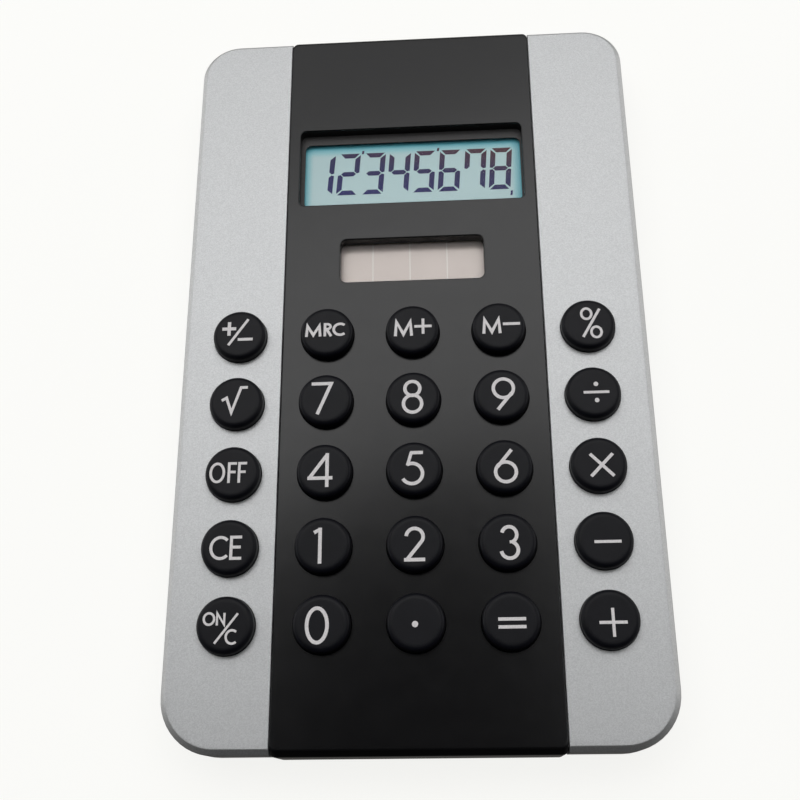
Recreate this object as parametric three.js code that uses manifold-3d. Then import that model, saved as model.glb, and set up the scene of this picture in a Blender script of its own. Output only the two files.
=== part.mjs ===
// Pocket calculator: dual-power, eight-digit, twenty-five round keys.
// Millimetres. +Z up, the calculator lies on its back. +Y points to the display end, X runs across.
// The origin is the middle of the model's box, on the plane that the four feet rest on.
import * as THREE from "three";
import { mergeVertices } from "three/addons/utils/BufferGeometryUtils.js";
import Module from "manifold-3d";

// ---- Driving dimensions ----------------------------------------------------------------------

// Outer body
const BODY_WIDTH = 70;
const BODY_LENGTH = 115.3;
const CORNER_RADIUS_DISPLAY_END = 6.2;
const CORNER_RADIUS_KEY_END = 7.8;
const FACE_BEVEL = 1.05;
const BACK_BEVEL = 0.8;
const WALL = 1.6;
const SKIN = 1.65;
const FLOOR = 1.2;
const REAR_INSET = 0.4;
const LIP_THICKNESS = 0.8;

// Gaps between parts, and how far a cutter or an addition runs past the surface it meets
const FIT_GAP = 0.1;
const SEAT_GAP = 0.05;
const BOSS_GAP = 0.2;
const SLACK = 0.3;
const OVERLAP = 0.2;
const OVERCUT = 1;

// Heights above the plane that the feet rest on
const BACK_Z = 0.8;
const FACE_Z = 9.2;
const PARTING_Z = 3.6;
const LIP_TOP_Z = 4.6;
const SKIN_UNDER_Z = FACE_Z - SKIN;
const ABOVE_FACE_Z = FACE_Z + OVERCUT;
const FLOOR_TOP_Z = BACK_Z + FLOOR;

// Centre fascia, a strip that wraps over both ends
const FASCIA_WIDTH = 39.5;
const FASCIA_LENGTH = 115.8;
const FASCIA_THICKNESS = 0.8;
const FASCIA_ARM_THICKNESS = 1.0;
const FASCIA_BOTTOM_Z = 1.2;
const FASCIA_SKIRT = 0.9;

// Keys
const KEY_COLUMNS_X = [-26.2, -12.92, 0, 12.92, 26.2];
const KEY_TOP_ROW_Y = 2.78;
const KEY_ROW_PITCH = 10.867;
const KEY_RADIUS = 4.0;
const KEY_EDGE = 0.5;
const KEY_PROUD = 1.6;
const KEY_HOLE_RADIUS = 4.3;
const KEY_FLANGE_RADIUS = 4.95;
const KEY_FLANGE_TOP_Z = 7.4;
const KEY_FLANGE_BOTTOM_Z = 6.75;
const KEY_STEM_RADIUS = 1.5;
const KEY_STEM_BOTTOM_Z = 6.15;
const KEY_SIDES = 16;
const HOLE_SIDES = 16;
const KEY_NAMES = [
  ["sign", "memory_recall", "memory_plus", "memory_minus", "percent"],
  ["root", "7", "8", "9", "divide"],
  ["off", "4", "5", "6", "multiply"],
  ["clear_entry", "1", "2", "3", "subtract"],
  ["on_clear", "0", "point", "equals", "add"],
];

// Display and solar windows in the fascia
const DISPLAY_WINDOW = { width: 35.9, length: 13.95, x: 0, y: 32.65, radius: 0.9 };
const SOLAR_WINDOW = { width: 22.3, length: 7.4, x: 0, y: 15.5, radius: 1.0 };
const MASK_APERTURE = { width: 35.05, length: 11.83, x: 0.17, y: 32.09, radius: 1.0 };

// Display stack
const DISPLAY_GLASS = { width: 40, length: 17, y: 32.6 };
const GLASS_LEDGE = 2.2;
const GLASS_THICKNESS = 0.65;
const MASK_BOTTOM_Z = 7.3;
const MASK_TOP_Z = 7.5;
const LENS_BOTTOM_Z = 6.75;
const LENS_TOP_Z = 7.25;
const POLARISER_BOTTOM_Z = 6.55;
const POLARISER_TOP_Z = 6.7;
const FRONT_GLASS_TOP_Z = 6.5;
const REAR_GLASS_TOP_Z = 5.8;
const REFLECTOR_BOTTOM_Z = 5.0;
const REFLECTOR_TOP_Z = 5.1;
const FILM_INSET = 1;
const REFLECTOR_INSET = 0.5;
const CONNECTOR_HALF_WIDTH = 17.1;
const FRAME_WALL = 1.3;
const FRAME_GAP = 0.25;

// Solar cell
const SOLAR_CELL = { width: 25, length: 10, thickness: 1.1, y: 15.5 };
const SOLAR_CELL_TOP_Z = 6.9;
const SOLAR_COVER = { width: 24.6, length: 9.5, bottomZ: 7.0, topZ: 7.5 };

// Leads from the cell to the board: the way out across X from the end of the cell, the way down Y from
// its middle, and the drop from the cell's underside to the first two bends
const LEAD_RADIUS = 0.4;
const LEAD_START_INSET = 1.5;
const LEAD_OUT_X = [0, 1, 2.6, 4.6];
const LEAD_DOWN_Y = [2, 3.6, 5, 5.4];
const LEAD_DROPS = [0.55, 0.7];
const LEAD_STEPS = 8;

// Circuit board and keypad
const BOARD_BOTTOM_Z = 3.3;
const BOARD_TOP_Z = 4.3;
const BOARD_HALF_WIDTH = 31.5;
const BOARD_KEY_END_Y = -47;
const BOARD_DISPLAY_END_Y = 44;
const BOARD_NOTCH_X = 17.6;
const BOARD_NOTCH_Y = 7;
const PAD_BOTTOM_Z = 4.35;
const PAD_TOP_Z = 4.75;
const DOME_TOP_Z = 5.15;
const DOME_BASE_RADIUS = 3.4;
const DOME_TOP_RADIUS = 2.2;
const DOME_SIDES = 8;
const PAD_KEY_MARGIN = 5;
const CHIP = { radius: 4.2, crownRadius: 2.94, thickness: 0.9, x: -8, y: 12 };

// Button cell and its bay
const CELL = { radius: 5.8, thickness: 3.05, step: 0.9, stepHeight: 0.4, x: 25.9, y: 15.4 };
const CELL_BOTTOM_Z = 2.0;
const CELL_TOP_Z = CELL_BOTTOM_Z + CELL.thickness;
const BAY_RADIUS = 6.15;
const BAY_WALL_RADIUS = 7.2;
const BAY_ROOF_UNDER_Z = 5.55;
const BAY_ROOF_TOP_Z = 6.4;
const BAY_SIDES = 24;
const CELL_SIDES = 24;
const CONTACT_THICKNESS = 0.2;
const CONTACT_WIDTH = 3;
const CONTACT_BRIDGE_Z = 6.55;
const CONTACT_PAD_X = 16.7;
const CONTACT_FOOT = 1.6;
const NEGATIVE_RISER_X = 21.0;
const NEGATIVE_SPRING_REACH = 4;
const NEGATIVE_TOUCH_GAP = 0.08;
const POSITIVE_BLADE_WIDTH = 2;
const POSITIVE_BLADE_Y = 21.25;
const POSITIVE_BLADE_THICKNESS = 0.17;
const POSITIVE_BRIDGE_WIDTH = 0.9;
const CONTACT_SLOT_DROP = 0.5;

// Battery door, which slides out through the side
const DOOR_LENGTH_X = 17;
const DOOR_WIDTH_Y = 15.6;
const DOOR_THICKNESS = 1.0;
const DOOR_TONGUE = 0.8;
const DOOR_TONGUE_BOTTOM_Z = 1.2;
const DOOR_TONGUE_THICKNESS = 0.4;
const DOOR_TONGUE_SETBACK = 2.5;
const DOOR_GAP = 0.15;
const DOOR_GRIP = { count: 3, pitch: 1.2, width: 0.5, depth: 0.3, length: 7, edge: 4.7 };

// Screws, bosses and feet
const CASE_SCREW_X = 28.9;
const CASE_SCREW_Y = 51.6;
const CASE_BOSS_RADIUS = 2.4;
const SCREW_RADIUS = 1.0;
const SCREW_HOLE_RADIUS = 1.25;
const SCREW_HEAD_RADIUS = 1.8;
const SCREW_HEAD_THICKNESS = 0.7;
const SCREW_CROSS_WIDTH = 0.5;
const SCREW_CROSS_REACH = 1.17;
const SCREW_SIDES = 12;
const CASE_SCREW_HEAD_BOTTOM_Z = 1.0;
const CASE_SCREW_TIP_Z = 6.9;
const BOARD_SCREW_X = (KEY_COLUMNS_X[3] + KEY_COLUMNS_X[4]) / 2;
const BOARD_SCREW_ROWS_Y = [0.5, 3.5].map((rows) => KEY_TOP_ROW_Y - rows * KEY_ROW_PITCH);
const BOARD_BOSS_RADIUS = 1.9;
const BOARD_SCREW_TIP_Z = 7.0;
const FOOT_X = 21;
const FOOT_Y = 50.5;
const FOOT_RADIUS = 4;
const FOOT_TOP_Z = 1.3;
const FOOT_PAD_MARGIN = 1;

// ---- Booleans --------------------------------------------------------------------------------

const wasm = await Module();
wasm.setup();

function toSolid(geometry) {
  const bare = geometry.clone();
  bare.deleteAttribute("normal");
  bare.deleteAttribute("uv");
  const merged = mergeVertices(bare, 1e-4);
  return new wasm.Manifold(new wasm.Mesh({
    numProp: 3,
    vertProperties: new Float32Array(merged.attributes.position.array),
    triVerts: new Uint32Array(merged.index.array),
  }));
}

function toGeometry(solid) {
  const mesh = solid.getMesh();
  const geometry = new THREE.BufferGeometry();
  geometry.setAttribute("position", new THREE.BufferAttribute(new Float32Array(mesh.vertProperties), 3));
  geometry.setIndex(new THREE.BufferAttribute(new Uint32Array(mesh.triVerts), 1));
  geometry.computeVertexNormals();
  return geometry;
}

function cut(base, cutters) {
  return cutters.reduce((solid, cutter) => solid.subtract(toSolid(cutter)), base);
}

function join(base, additions) {
  return additions.reduce((solid, addition) => solid.add(toSolid(addition)), base);
}

// ---- Shape helpers ---------------------------------------------------------------------------

function box(x0, x1, y0, y1, z0, z1) {
  const geometry = new THREE.BoxGeometry(x1 - x0, y1 - y0, z1 - z0);
  geometry.translate((x0 + x1) / 2, (y0 + y1) / 2, (z0 + z1) / 2);
  return geometry;
}

function centredBox(width, length, x, y, z0, z1) {
  return box(x - width / 2, x + width / 2, y - length / 2, y + length / 2, z0, z1);
}

function disc(radius, x, y, z0, z1, sides = HOLE_SIDES, topRadius = radius) {
  const geometry = new THREE.CylinderGeometry(topRadius, radius, z1 - z0, sides);
  geometry.rotateX(Math.PI / 2);
  geometry.translate(x, y, (z0 + z1) / 2);
  return geometry;
}

// A disc of the same size at each of several places.
function discs(places, radius, z0, z1, sides = SCREW_SIDES) {
  return places.map(([x, y]) => disc(radius, x, y, z0, z1, sides));
}

// A rectangle about its own middle, with one corner radius at +Y and another at -Y.
function roundedOutline(width, length, radiusTop, radiusBottom = radiusTop) {
  const halfW = width / 2;
  const halfL = length / 2;
  const shape = new THREE.Shape();
  shape.moveTo(halfW, -halfL + radiusBottom);
  shape.lineTo(halfW, halfL - radiusTop);
  shape.absarc(halfW - radiusTop, halfL - radiusTop, radiusTop, 0, Math.PI / 2);
  shape.lineTo(-halfW + radiusTop, halfL);
  shape.absarc(-halfW + radiusTop, halfL - radiusTop, radiusTop, Math.PI / 2, Math.PI);
  shape.lineTo(-halfW, -halfL + radiusBottom);
  shape.absarc(-halfW + radiusBottom, -halfL + radiusBottom, radiusBottom, Math.PI, 1.5 * Math.PI);
  shape.lineTo(halfW - radiusBottom, -halfL);
  shape.absarc(halfW - radiusBottom, -halfL + radiusBottom, radiusBottom, 1.5 * Math.PI, 2 * Math.PI);
  return shape;
}

function extrude(shape, z0, z1, curveSegments = 4) {
  const geometry = new THREE.ExtrudeGeometry(shape, { depth: z1 - z0, bevelEnabled: false, curveSegments });
  geometry.translate(0, 0, z0);
  return geometry;
}

// The body outline shrunk by an inset, between two heights.
function bodyLayer(inset, z0, z1) {
  const outline = roundedOutline(
    BODY_WIDTH - 2 * inset,
    BODY_LENGTH - 2 * inset,
    CORNER_RADIUS_DISPLAY_END - inset,
    CORNER_RADIUS_KEY_END - inset,
  );
  return extrude(outline, z0, z1);
}

// The same, with a 45 degree bevel all round at both its ends.
function bevelledBody(inset, bevel, z0, z1) {
  const outline = roundedOutline(
    BODY_WIDTH - 2 * inset,
    BODY_LENGTH - 2 * inset,
    CORNER_RADIUS_DISPLAY_END - inset,
    CORNER_RADIUS_KEY_END - inset,
  );
  const geometry = new THREE.ExtrudeGeometry(outline, {
    depth: z1 - z0 - 2 * bevel,
    bevelThickness: bevel,
    bevelSize: bevel,
    bevelOffset: -bevel,
    bevelSegments: 1,
    curveSegments: 4,
  });
  geometry.translate(0, 0, z0 + bevel);
  return geometry;
}

function windowCut(window, grow, z0, z1) {
  const outline = roundedOutline(window.width + 2 * grow, window.length + 2 * grow, window.radius + grow);
  const geometry = extrude(outline, z0, z1, 2);
  geometry.translate(window.x, window.y, 0);
  return geometry;
}

// A profile drawn in the Y-Z plane and run along X.
function extrudeAlongX(points, x0, x1) {
  const shape = new THREE.Shape(points.map(([y, z]) => new THREE.Vector2(y, z)));
  const geometry = new THREE.ExtrudeGeometry(shape, { depth: x1 - x0, bevelEnabled: false });
  const axes = new THREE.Matrix4().makeBasis(
    new THREE.Vector3(0, 1, 0),
    new THREE.Vector3(0, 0, 1),
    new THREE.Vector3(1, 0, 0),
  );
  geometry.applyMatrix4(axes);
  geometry.translate(x0, 0, 0);
  return geometry;
}

// A profile drawn in the X-Z plane and run along Y.
function extrudeAlongY(points, y0, y1) {
  const shape = new THREE.Shape(points.map(([x, z]) => new THREE.Vector2(x, z)));
  const geometry = new THREE.ExtrudeGeometry(shape, { depth: y1 - y0, bevelEnabled: false });
  geometry.rotateX(Math.PI / 2);
  geometry.translate(0, y1, 0);
  return geometry;
}

// A profile of radii and heights, turned about the Z axis.
function turned(profile, sides) {
  const points = profile.map(([radius, height]) => new THREE.Vector2(radius, height));
  const geometry = new THREE.LatheGeometry(points, sides);
  geometry.rotateX(Math.PI / 2);
  return geometry;
}

function tube(points, radius, steps) {
  const section = new THREE.Shape();
  section.absarc(0, 0, radius, 0, 2 * Math.PI);
  const path = new THREE.CatmullRomCurve3(points.map((point) => new THREE.Vector3(...point)));
  return new THREE.ExtrudeGeometry(section, { steps, extrudePath: path, curveSegments: 4 });
}

function everySign(x, y) {
  return [[x, y], [-x, y], [-x, -y], [x, -y]];
}

const keyPlaces = KEY_NAMES.flatMap((row, rowIndex) => row.map((name, columnIndex) => ({
  name: `key_${name}`,
  x: KEY_COLUMNS_X[columnIndex],
  y: KEY_TOP_ROW_Y - rowIndex * KEY_ROW_PITCH,
})));
const fasciaKeyPlaces = keyPlaces.filter((place) => Math.abs(place.x) < FASCIA_WIDTH / 2);
const caseScrewPlaces = everySign(CASE_SCREW_X, CASE_SCREW_Y);
const footPlaces = everySign(FOOT_X, FOOT_Y);
const boardScrewPlaces = BOARD_SCREW_ROWS_Y.flatMap((y) => [[-BOARD_SCREW_X, y], [BOARD_SCREW_X, y]]);

// ---- Materials and the assembly --------------------------------------------------------------

const FINISHES = {
  silver: { color: 0xb9bbbc, roughness: 0.45, metalness: 0.6 },
  blackPlastic: { color: 0x1b1d20, roughness: 0.4, metalness: 0 },
  keyRubber: { color: 0x17181b, roughness: 0.7, metalness: 0 },
  darkPlastic: { color: 0x2a2c2f, roughness: 0.55, metalness: 0 },
  clear: { color: 0xdfe8ea, roughness: 0.05, metalness: 0 },
  displayGlass: { color: 0xa9c9c8, roughness: 0.15, metalness: 0 },
  solar: { color: 0x5a4a4c, roughness: 0.25, metalness: 0 },
  board: { color: 0x9c7a3c, roughness: 0.6, metalness: 0 },
  silicone: { color: 0xb9b7ac, roughness: 0.8, metalness: 0 },
  steel: { color: 0xa8a8a6, roughness: 0.3, metalness: 1 },
  footRubber: { color: 0x202020, roughness: 0.9, metalness: 0 },
  leadRed: { color: 0xa02020, roughness: 0.5, metalness: 0 },
  leadBlack: { color: 0x151515, roughness: 0.5, metalness: 0 },
};

const calculator = new THREE.Group();

function addPart(name, geometry, finish) {
  const mesh = new THREE.Mesh(geometry, new THREE.MeshStandardMaterial(FINISHES[finish]));
  mesh.name = name;
  calculator.add(mesh);
}

// ---- Casings ---------------------------------------------------------------------------------

function frontCase() {
  const fasciaHalf = FASCIA_WIDTH / 2 + FIT_GAP;
  const fasciaEnd = FASCIA_LENGTH / 2 - FASCIA_ARM_THICKNESS - FIT_GAP;
  const recessZ = FACE_Z - FASCIA_THICKNESS - FIT_GAP;
  const farY = BODY_LENGTH;
  const shell = cut(toSolid(bevelledBody(0, FACE_BEVEL, 0, FACE_Z)), [
    box(-BODY_WIDTH, BODY_WIDTH, -farY, farY, -OVERCUT, PARTING_Z),
    bodyLayer(WALL, 0, SKIN_UNDER_Z),
    box(-fasciaHalf, fasciaHalf, -farY, farY, recessZ, ABOVE_FACE_Z),
    box(-fasciaHalf, fasciaHalf, fasciaEnd, farY, 0, ABOVE_FACE_Z),
    box(-fasciaHalf, fasciaHalf, -farY, -fasciaEnd, 0, ABOVE_FACE_Z),
  ]);
  const bossTop = SKIN_UNDER_Z + OVERLAP;
  const bossed = join(shell, [
    ...discs(caseScrewPlaces, CASE_BOSS_RADIUS, FLOOR_TOP_Z + FIT_GAP, bossTop),
    ...discs(boardScrewPlaces, BOARD_BOSS_RADIUS, BOARD_TOP_Z + FIT_GAP, bossTop),
  ]);
  return cut(bossed, [
    ...keyPlaces.map(({ x, y }) => disc(KEY_HOLE_RADIUS, x, y, SKIN_UNDER_Z - FIT_GAP, ABOVE_FACE_Z)),
    windowCut(DISPLAY_WINDOW, FASCIA_SKIRT + FIT_GAP, SKIN_UNDER_Z - OVERCUT, ABOVE_FACE_Z),
    windowCut(SOLAR_WINDOW, FASCIA_SKIRT + FIT_GAP, SKIN_UNDER_Z - OVERCUT, ABOVE_FACE_Z),
    ...discs(caseScrewPlaces, SCREW_HOLE_RADIUS, 0, CASE_SCREW_TIP_Z + SLACK),
    ...discs(boardScrewPlaces, SCREW_HOLE_RADIUS, 0, BOARD_SCREW_TIP_Z + SLACK),
  ]);
}

function centreFascia() {
  const outerY = FASCIA_LENGTH / 2;
  const innerY = outerY - FASCIA_ARM_THICKNESS;
  const underZ = FACE_Z - FASCIA_THICKNESS;
  const bevelY = outerY - FACE_BEVEL;
  const bevelZ = FACE_Z - FACE_BEVEL;
  const strip = toSolid(extrudeAlongX([
    [-outerY, FASCIA_BOTTOM_Z],
    [-innerY, FASCIA_BOTTOM_Z],
    [-innerY, underZ],
    [innerY, underZ],
    [innerY, FASCIA_BOTTOM_Z],
    [outerY, FASCIA_BOTTOM_Z],
    [outerY, bevelZ],
    [bevelY, FACE_Z],
    [-bevelY, FACE_Z],
    [-outerY, bevelZ],
  ], -FASCIA_WIDTH / 2, FASCIA_WIDTH / 2));
  const skirted = join(strip, [DISPLAY_WINDOW, SOLAR_WINDOW].map(
    (window) => windowCut(window, FASCIA_SKIRT, SKIN_UNDER_Z, underZ + OVERLAP),
  ));
  return cut(skirted, [
    windowCut(DISPLAY_WINDOW, 0, 0, ABOVE_FACE_Z),
    windowCut(SOLAR_WINDOW, 0, 0, ABOVE_FACE_Z),
    ...fasciaKeyPlaces.map(({ x, y }) => disc(KEY_HOLE_RADIUS, x, y, 0, ABOVE_FACE_Z)),
  ]);
}

function doorOpening(grow, z0, z1) {
  const innerX = BODY_WIDTH / 2 - REAR_INSET - DOOR_LENGTH_X - grow;
  const half = DOOR_WIDTH_Y / 2 + grow;
  return box(innerX, BODY_WIDTH, CELL.y - half, CELL.y + half, z0, z1);
}

// The slots in the bay's roof that the two contacts pass up through.
function contactSlots() {
  const bottomZ = BAY_ROOF_UNDER_Z - CONTACT_SLOT_DROP;
  const topZ = BAY_ROOF_TOP_Z + OVERCUT;
  const bladeHalf = POSITIVE_BLADE_WIDTH / 2 + SLACK;
  const bladeOuterY = POSITIVE_BLADE_Y + CONTACT_THICKNESS + SLACK;
  const riserReach = CONTACT_THICKNESS + SLACK;
  const riserHalf = CONTACT_WIDTH / 2 + SLACK;
  return [
    box(CELL.x - bladeHalf, CELL.x + bladeHalf, POSITIVE_BLADE_Y - SLACK, bladeOuterY, bottomZ, topZ),
    box(
      NEGATIVE_RISER_X - riserReach,
      NEGATIVE_RISER_X + riserReach,
      CELL.y - riserHalf,
      CELL.y + riserHalf,
      bottomZ,
      topZ,
    ),
  ];
}

function rearCase() {
  const fasciaHalf = FASCIA_WIDTH / 2 + FIT_GAP;
  const fasciaEnd = FASCIA_LENGTH / 2 - FASCIA_ARM_THICKNESS - FIT_GAP;
  const farY = BODY_LENGTH;
  const lipInset = WALL + FIT_GAP;
  const rim = PARTING_Z - FIT_GAP;
  const tongueTop = DOOR_TONGUE_BOTTOM_Z + DOOR_TONGUE_THICKNESS + DOOR_GAP;
  const doorTop = BACK_Z + DOOR_THICKNESS + DOOR_GAP;
  const tray = cut(toSolid(bevelledBody(REAR_INSET, BACK_BEVEL, BACK_Z, FACE_Z)), [
    box(-BODY_WIDTH, BODY_WIDTH, -farY, farY, rim, ABOVE_FACE_Z),
    bodyLayer(WALL, FLOOR_TOP_Z, FACE_Z),
    box(-fasciaHalf, fasciaHalf, fasciaEnd, farY, 0, FACE_Z),
    box(-fasciaHalf, fasciaHalf, -farY, -fasciaEnd, 0, FACE_Z),
  ]);
  const raisedZ = FLOOR_TOP_Z - OVERLAP;
  const lip = cut(toSolid(bodyLayer(lipInset, raisedZ, LIP_TOP_Z)), [
    bodyLayer(lipInset + LIP_THICKNESS, 0, FACE_Z),
  ]);
  const bayed = join(tray.add(lip), [
    disc(BAY_WALL_RADIUS, CELL.x, CELL.y, raisedZ, BAY_ROOF_TOP_Z, BAY_SIDES),
    ...discs(footPlaces, FOOT_RADIUS + FOOT_PAD_MARGIN, raisedZ, FLOOR_TOP_Z + SLACK, HOLE_SIDES),
  ]);
  return cut(bayed, [
    disc(BAY_RADIUS, CELL.x, CELL.y, 0, BAY_ROOF_UNDER_Z, BAY_SIDES),
    ...contactSlots(),
    doorOpening(DOOR_GAP, 0, doorTop),
    doorOpening(DOOR_TONGUE + DOOR_GAP, DOOR_TONGUE_BOTTOM_Z - DOOR_GAP, tongueTop),
    ...discs(caseScrewPlaces, SCREW_HOLE_RADIUS, 0, FLOOR_TOP_Z + OVERCUT),
    ...discs(caseScrewPlaces, SCREW_HEAD_RADIUS + SLACK, 0, CASE_SCREW_HEAD_BOTTOM_Z + SCREW_HEAD_THICKNESS),
    ...discs(caseScrewPlaces, CASE_BOSS_RADIUS + BOSS_GAP, FLOOR_TOP_Z, FACE_Z),
    ...discs(footPlaces, FOOT_RADIUS + FIT_GAP, 0, FOOT_TOP_Z + FIT_GAP, HOLE_SIDES),
  ]);
}

function batteryDoor() {
  const outerX = BODY_WIDTH / 2 - REAR_INSET;
  const innerX = outerX - DOOR_LENGTH_X;
  const half = DOOR_WIDTH_Y / 2;
  const topZ = BACK_Z + DOOR_THICKNESS;
  const plate = toSolid(box(innerX, outerX, CELL.y - half, CELL.y + half, BACK_Z, topZ));
  const tongued = join(plate, [
    box(
      innerX,
      outerX - DOOR_TONGUE_SETBACK,
      CELL.y - half - DOOR_TONGUE,
      CELL.y + half + DOOR_TONGUE,
      DOOR_TONGUE_BOTTOM_Z,
      DOOR_TONGUE_BOTTOM_Z + DOOR_TONGUE_THICKNESS,
    ),
  ]);
  const grooves = Array.from({ length: DOOR_GRIP.count }, (_, index) => {
    const x = outerX - DOOR_GRIP.edge + index * DOOR_GRIP.pitch;
    const reach = DOOR_GRIP.length / 2;
    return box(x - DOOR_GRIP.width, x, CELL.y - reach, CELL.y + reach, 0, BACK_Z + DOOR_GRIP.depth);
  });
  const edgeWedge = extrudeAlongY([
    [outerX - BACK_BEVEL - OVERCUT, BACK_Z - OVERCUT],
    [outerX + OVERCUT, BACK_Z - OVERCUT],
    [outerX + OVERCUT, BACK_Z + BACK_BEVEL + OVERCUT],
  ], CELL.y - half - OVERCUT, CELL.y + half + OVERCUT);
  return cut(tongued, [...grooves, edgeWedge]);
}

addPart("front_case", toGeometry(frontCase()), "silver");
addPart("centre_fascia", toGeometry(centreFascia()), "blackPlastic");
addPart("rear_case", toGeometry(rearCase()), "darkPlastic");
addPart("battery_door", toGeometry(batteryDoor()), "darkPlastic");

// ---- Keys, keypad and board ------------------------------------------------------------------

function keyGeometry() {
  const topZ = FACE_Z + KEY_PROUD;
  const profile = [
    [0, KEY_STEM_BOTTOM_Z],
    [KEY_STEM_RADIUS, KEY_STEM_BOTTOM_Z],
    [KEY_STEM_RADIUS, KEY_FLANGE_BOTTOM_Z],
    [KEY_FLANGE_RADIUS, KEY_FLANGE_BOTTOM_Z],
    [KEY_FLANGE_RADIUS, KEY_FLANGE_TOP_Z],
    [KEY_RADIUS, KEY_FLANGE_TOP_Z],
    [KEY_RADIUS, topZ - KEY_EDGE],
    [KEY_RADIUS - KEY_EDGE, topZ],
    [0, topZ],
  ];
  return toGeometry(toSolid(turned(profile, KEY_SIDES)));
}

for (const { name, x, y } of keyPlaces) {
  const geometry = keyGeometry();
  geometry.translate(x, y, 0);
  addPart(name, geometry, "keyRubber");
}

function keypadSheet() {
  const keyEndY = KEY_TOP_ROW_Y - (KEY_NAMES.length - 1) * KEY_ROW_PITCH - PAD_KEY_MARGIN;
  const half = BOARD_HALF_WIDTH;
  const sheet = toSolid(box(-half, half, keyEndY, BOARD_NOTCH_Y, PAD_BOTTOM_Z, PAD_TOP_Z));
  const domed = join(sheet, keyPlaces.map(({ x, y }) => disc(
    DOME_BASE_RADIUS, x, y, PAD_TOP_Z - OVERLAP, DOME_TOP_Z, DOME_SIDES, DOME_TOP_RADIUS,
  )));
  return cut(domed, discs(boardScrewPlaces, BOARD_BOSS_RADIUS + SLACK, 0, FACE_Z));
}

function circuitBoard() {
  const outline = new THREE.Shape([
    new THREE.Vector2(-BOARD_HALF_WIDTH, BOARD_KEY_END_Y),
    new THREE.Vector2(BOARD_HALF_WIDTH, BOARD_KEY_END_Y),
    new THREE.Vector2(BOARD_HALF_WIDTH, BOARD_NOTCH_Y),
    new THREE.Vector2(BOARD_NOTCH_X, BOARD_NOTCH_Y),
    new THREE.Vector2(BOARD_NOTCH_X, BOARD_DISPLAY_END_Y),
    new THREE.Vector2(-BOARD_HALF_WIDTH, BOARD_DISPLAY_END_Y),
  ]);
  const board = toSolid(extrude(outline, BOARD_BOTTOM_Z, BOARD_TOP_Z));
  return cut(board, discs(boardScrewPlaces, SCREW_HOLE_RADIUS, 0, FACE_Z));
}

function processorChip() {
  const crownZ = BOARD_BOTTOM_Z - CHIP.thickness;
  const baseZ = BOARD_BOTTOM_Z - SEAT_GAP;
  return disc(CHIP.crownRadius, CHIP.x, CHIP.y, crownZ, baseZ, HOLE_SIDES, CHIP.radius);
}

addPart("keypad_dome_sheet", toGeometry(keypadSheet()), "silicone");
addPart("circuit_board", toGeometry(circuitBoard()), "board");
addPart("processor_chip", toGeometry(toSolid(processorChip())), "blackPlastic");

// ---- Display ---------------------------------------------------------------------------------

function displayPlate(growX, growY, z0, z1, offsetY = 0) {
  const width = DISPLAY_GLASS.width + 2 * growX;
  const length = DISPLAY_GLASS.length + 2 * growY;
  return centredBox(width, length, 0, DISPLAY_GLASS.y + offsetY, z0, z1);
}

// The elastic strip that joins the front glass's ledge to the board.
function connectorStrip() {
  const ledgeY = DISPLAY_GLASS.y - DISPLAY_GLASS.length / 2;
  return box(
    -CONNECTOR_HALF_WIDTH,
    CONNECTOR_HALF_WIDTH,
    ledgeY + BOSS_GAP,
    ledgeY + GLASS_LEDGE - BOSS_GAP,
    BOARD_TOP_Z + SEAT_GAP,
    FRONT_GLASS_TOP_Z - GLASS_THICKNESS - SEAT_GAP,
  );
}

function displayFrame() {
  const reach = FRAME_WALL + FRAME_GAP;
  const block = toSolid(displayPlate(reach, reach, BOARD_TOP_Z + FIT_GAP, MASK_TOP_Z));
  return cut(block, [displayPlate(FRAME_GAP, FRAME_GAP, 0, FACE_Z)]);
}

const halfLedge = GLASS_LEDGE / 2;
addPart(
  "display_mask",
  toGeometry(cut(toSolid(displayPlate(0, 0, MASK_BOTTOM_Z, MASK_TOP_Z)), [
    windowCut(MASK_APERTURE, 0, 0, FACE_Z),
  ])),
  "blackPlastic",
);
addPart("display_lens", displayPlate(0, 0, LENS_BOTTOM_Z, LENS_TOP_Z), "clear");
addPart(
  "display_polariser",
  displayPlate(-FILM_INSET, -FILM_INSET, POLARISER_BOTTOM_Z, POLARISER_TOP_Z),
  "displayGlass",
);
addPart(
  "display_front_glass",
  displayPlate(0, 0, FRONT_GLASS_TOP_Z - GLASS_THICKNESS, FRONT_GLASS_TOP_Z),
  "displayGlass",
);
addPart(
  "display_rear_glass",
  displayPlate(0, -halfLedge, REAR_GLASS_TOP_Z - GLASS_THICKNESS, REAR_GLASS_TOP_Z, halfLedge),
  "displayGlass",
);
addPart(
  "display_reflector",
  displayPlate(
    -FILM_INSET, -halfLedge - REFLECTOR_INSET, REFLECTOR_BOTTOM_Z, REFLECTOR_TOP_Z, halfLedge,
  ),
  "steel",
);
addPart("display_connector_strip", connectorStrip(), "silicone");
addPart("display_frame", toGeometry(displayFrame()), "darkPlastic");

// ---- Solar cell ------------------------------------------------------------------------------

const solarBottomZ = SOLAR_CELL_TOP_Z - SOLAR_CELL.thickness;
addPart(
  "solar_window",
  centredBox(SOLAR_COVER.width, SOLAR_COVER.length, 0, SOLAR_CELL.y, SOLAR_COVER.bottomZ, SOLAR_COVER.topZ),
  "clear",
);
addPart(
  "solar_cell",
  centredBox(SOLAR_CELL.width, SOLAR_CELL.length, 0, SOLAR_CELL.y, solarBottomZ, SOLAR_CELL_TOP_Z),
  "solar",
);

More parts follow.
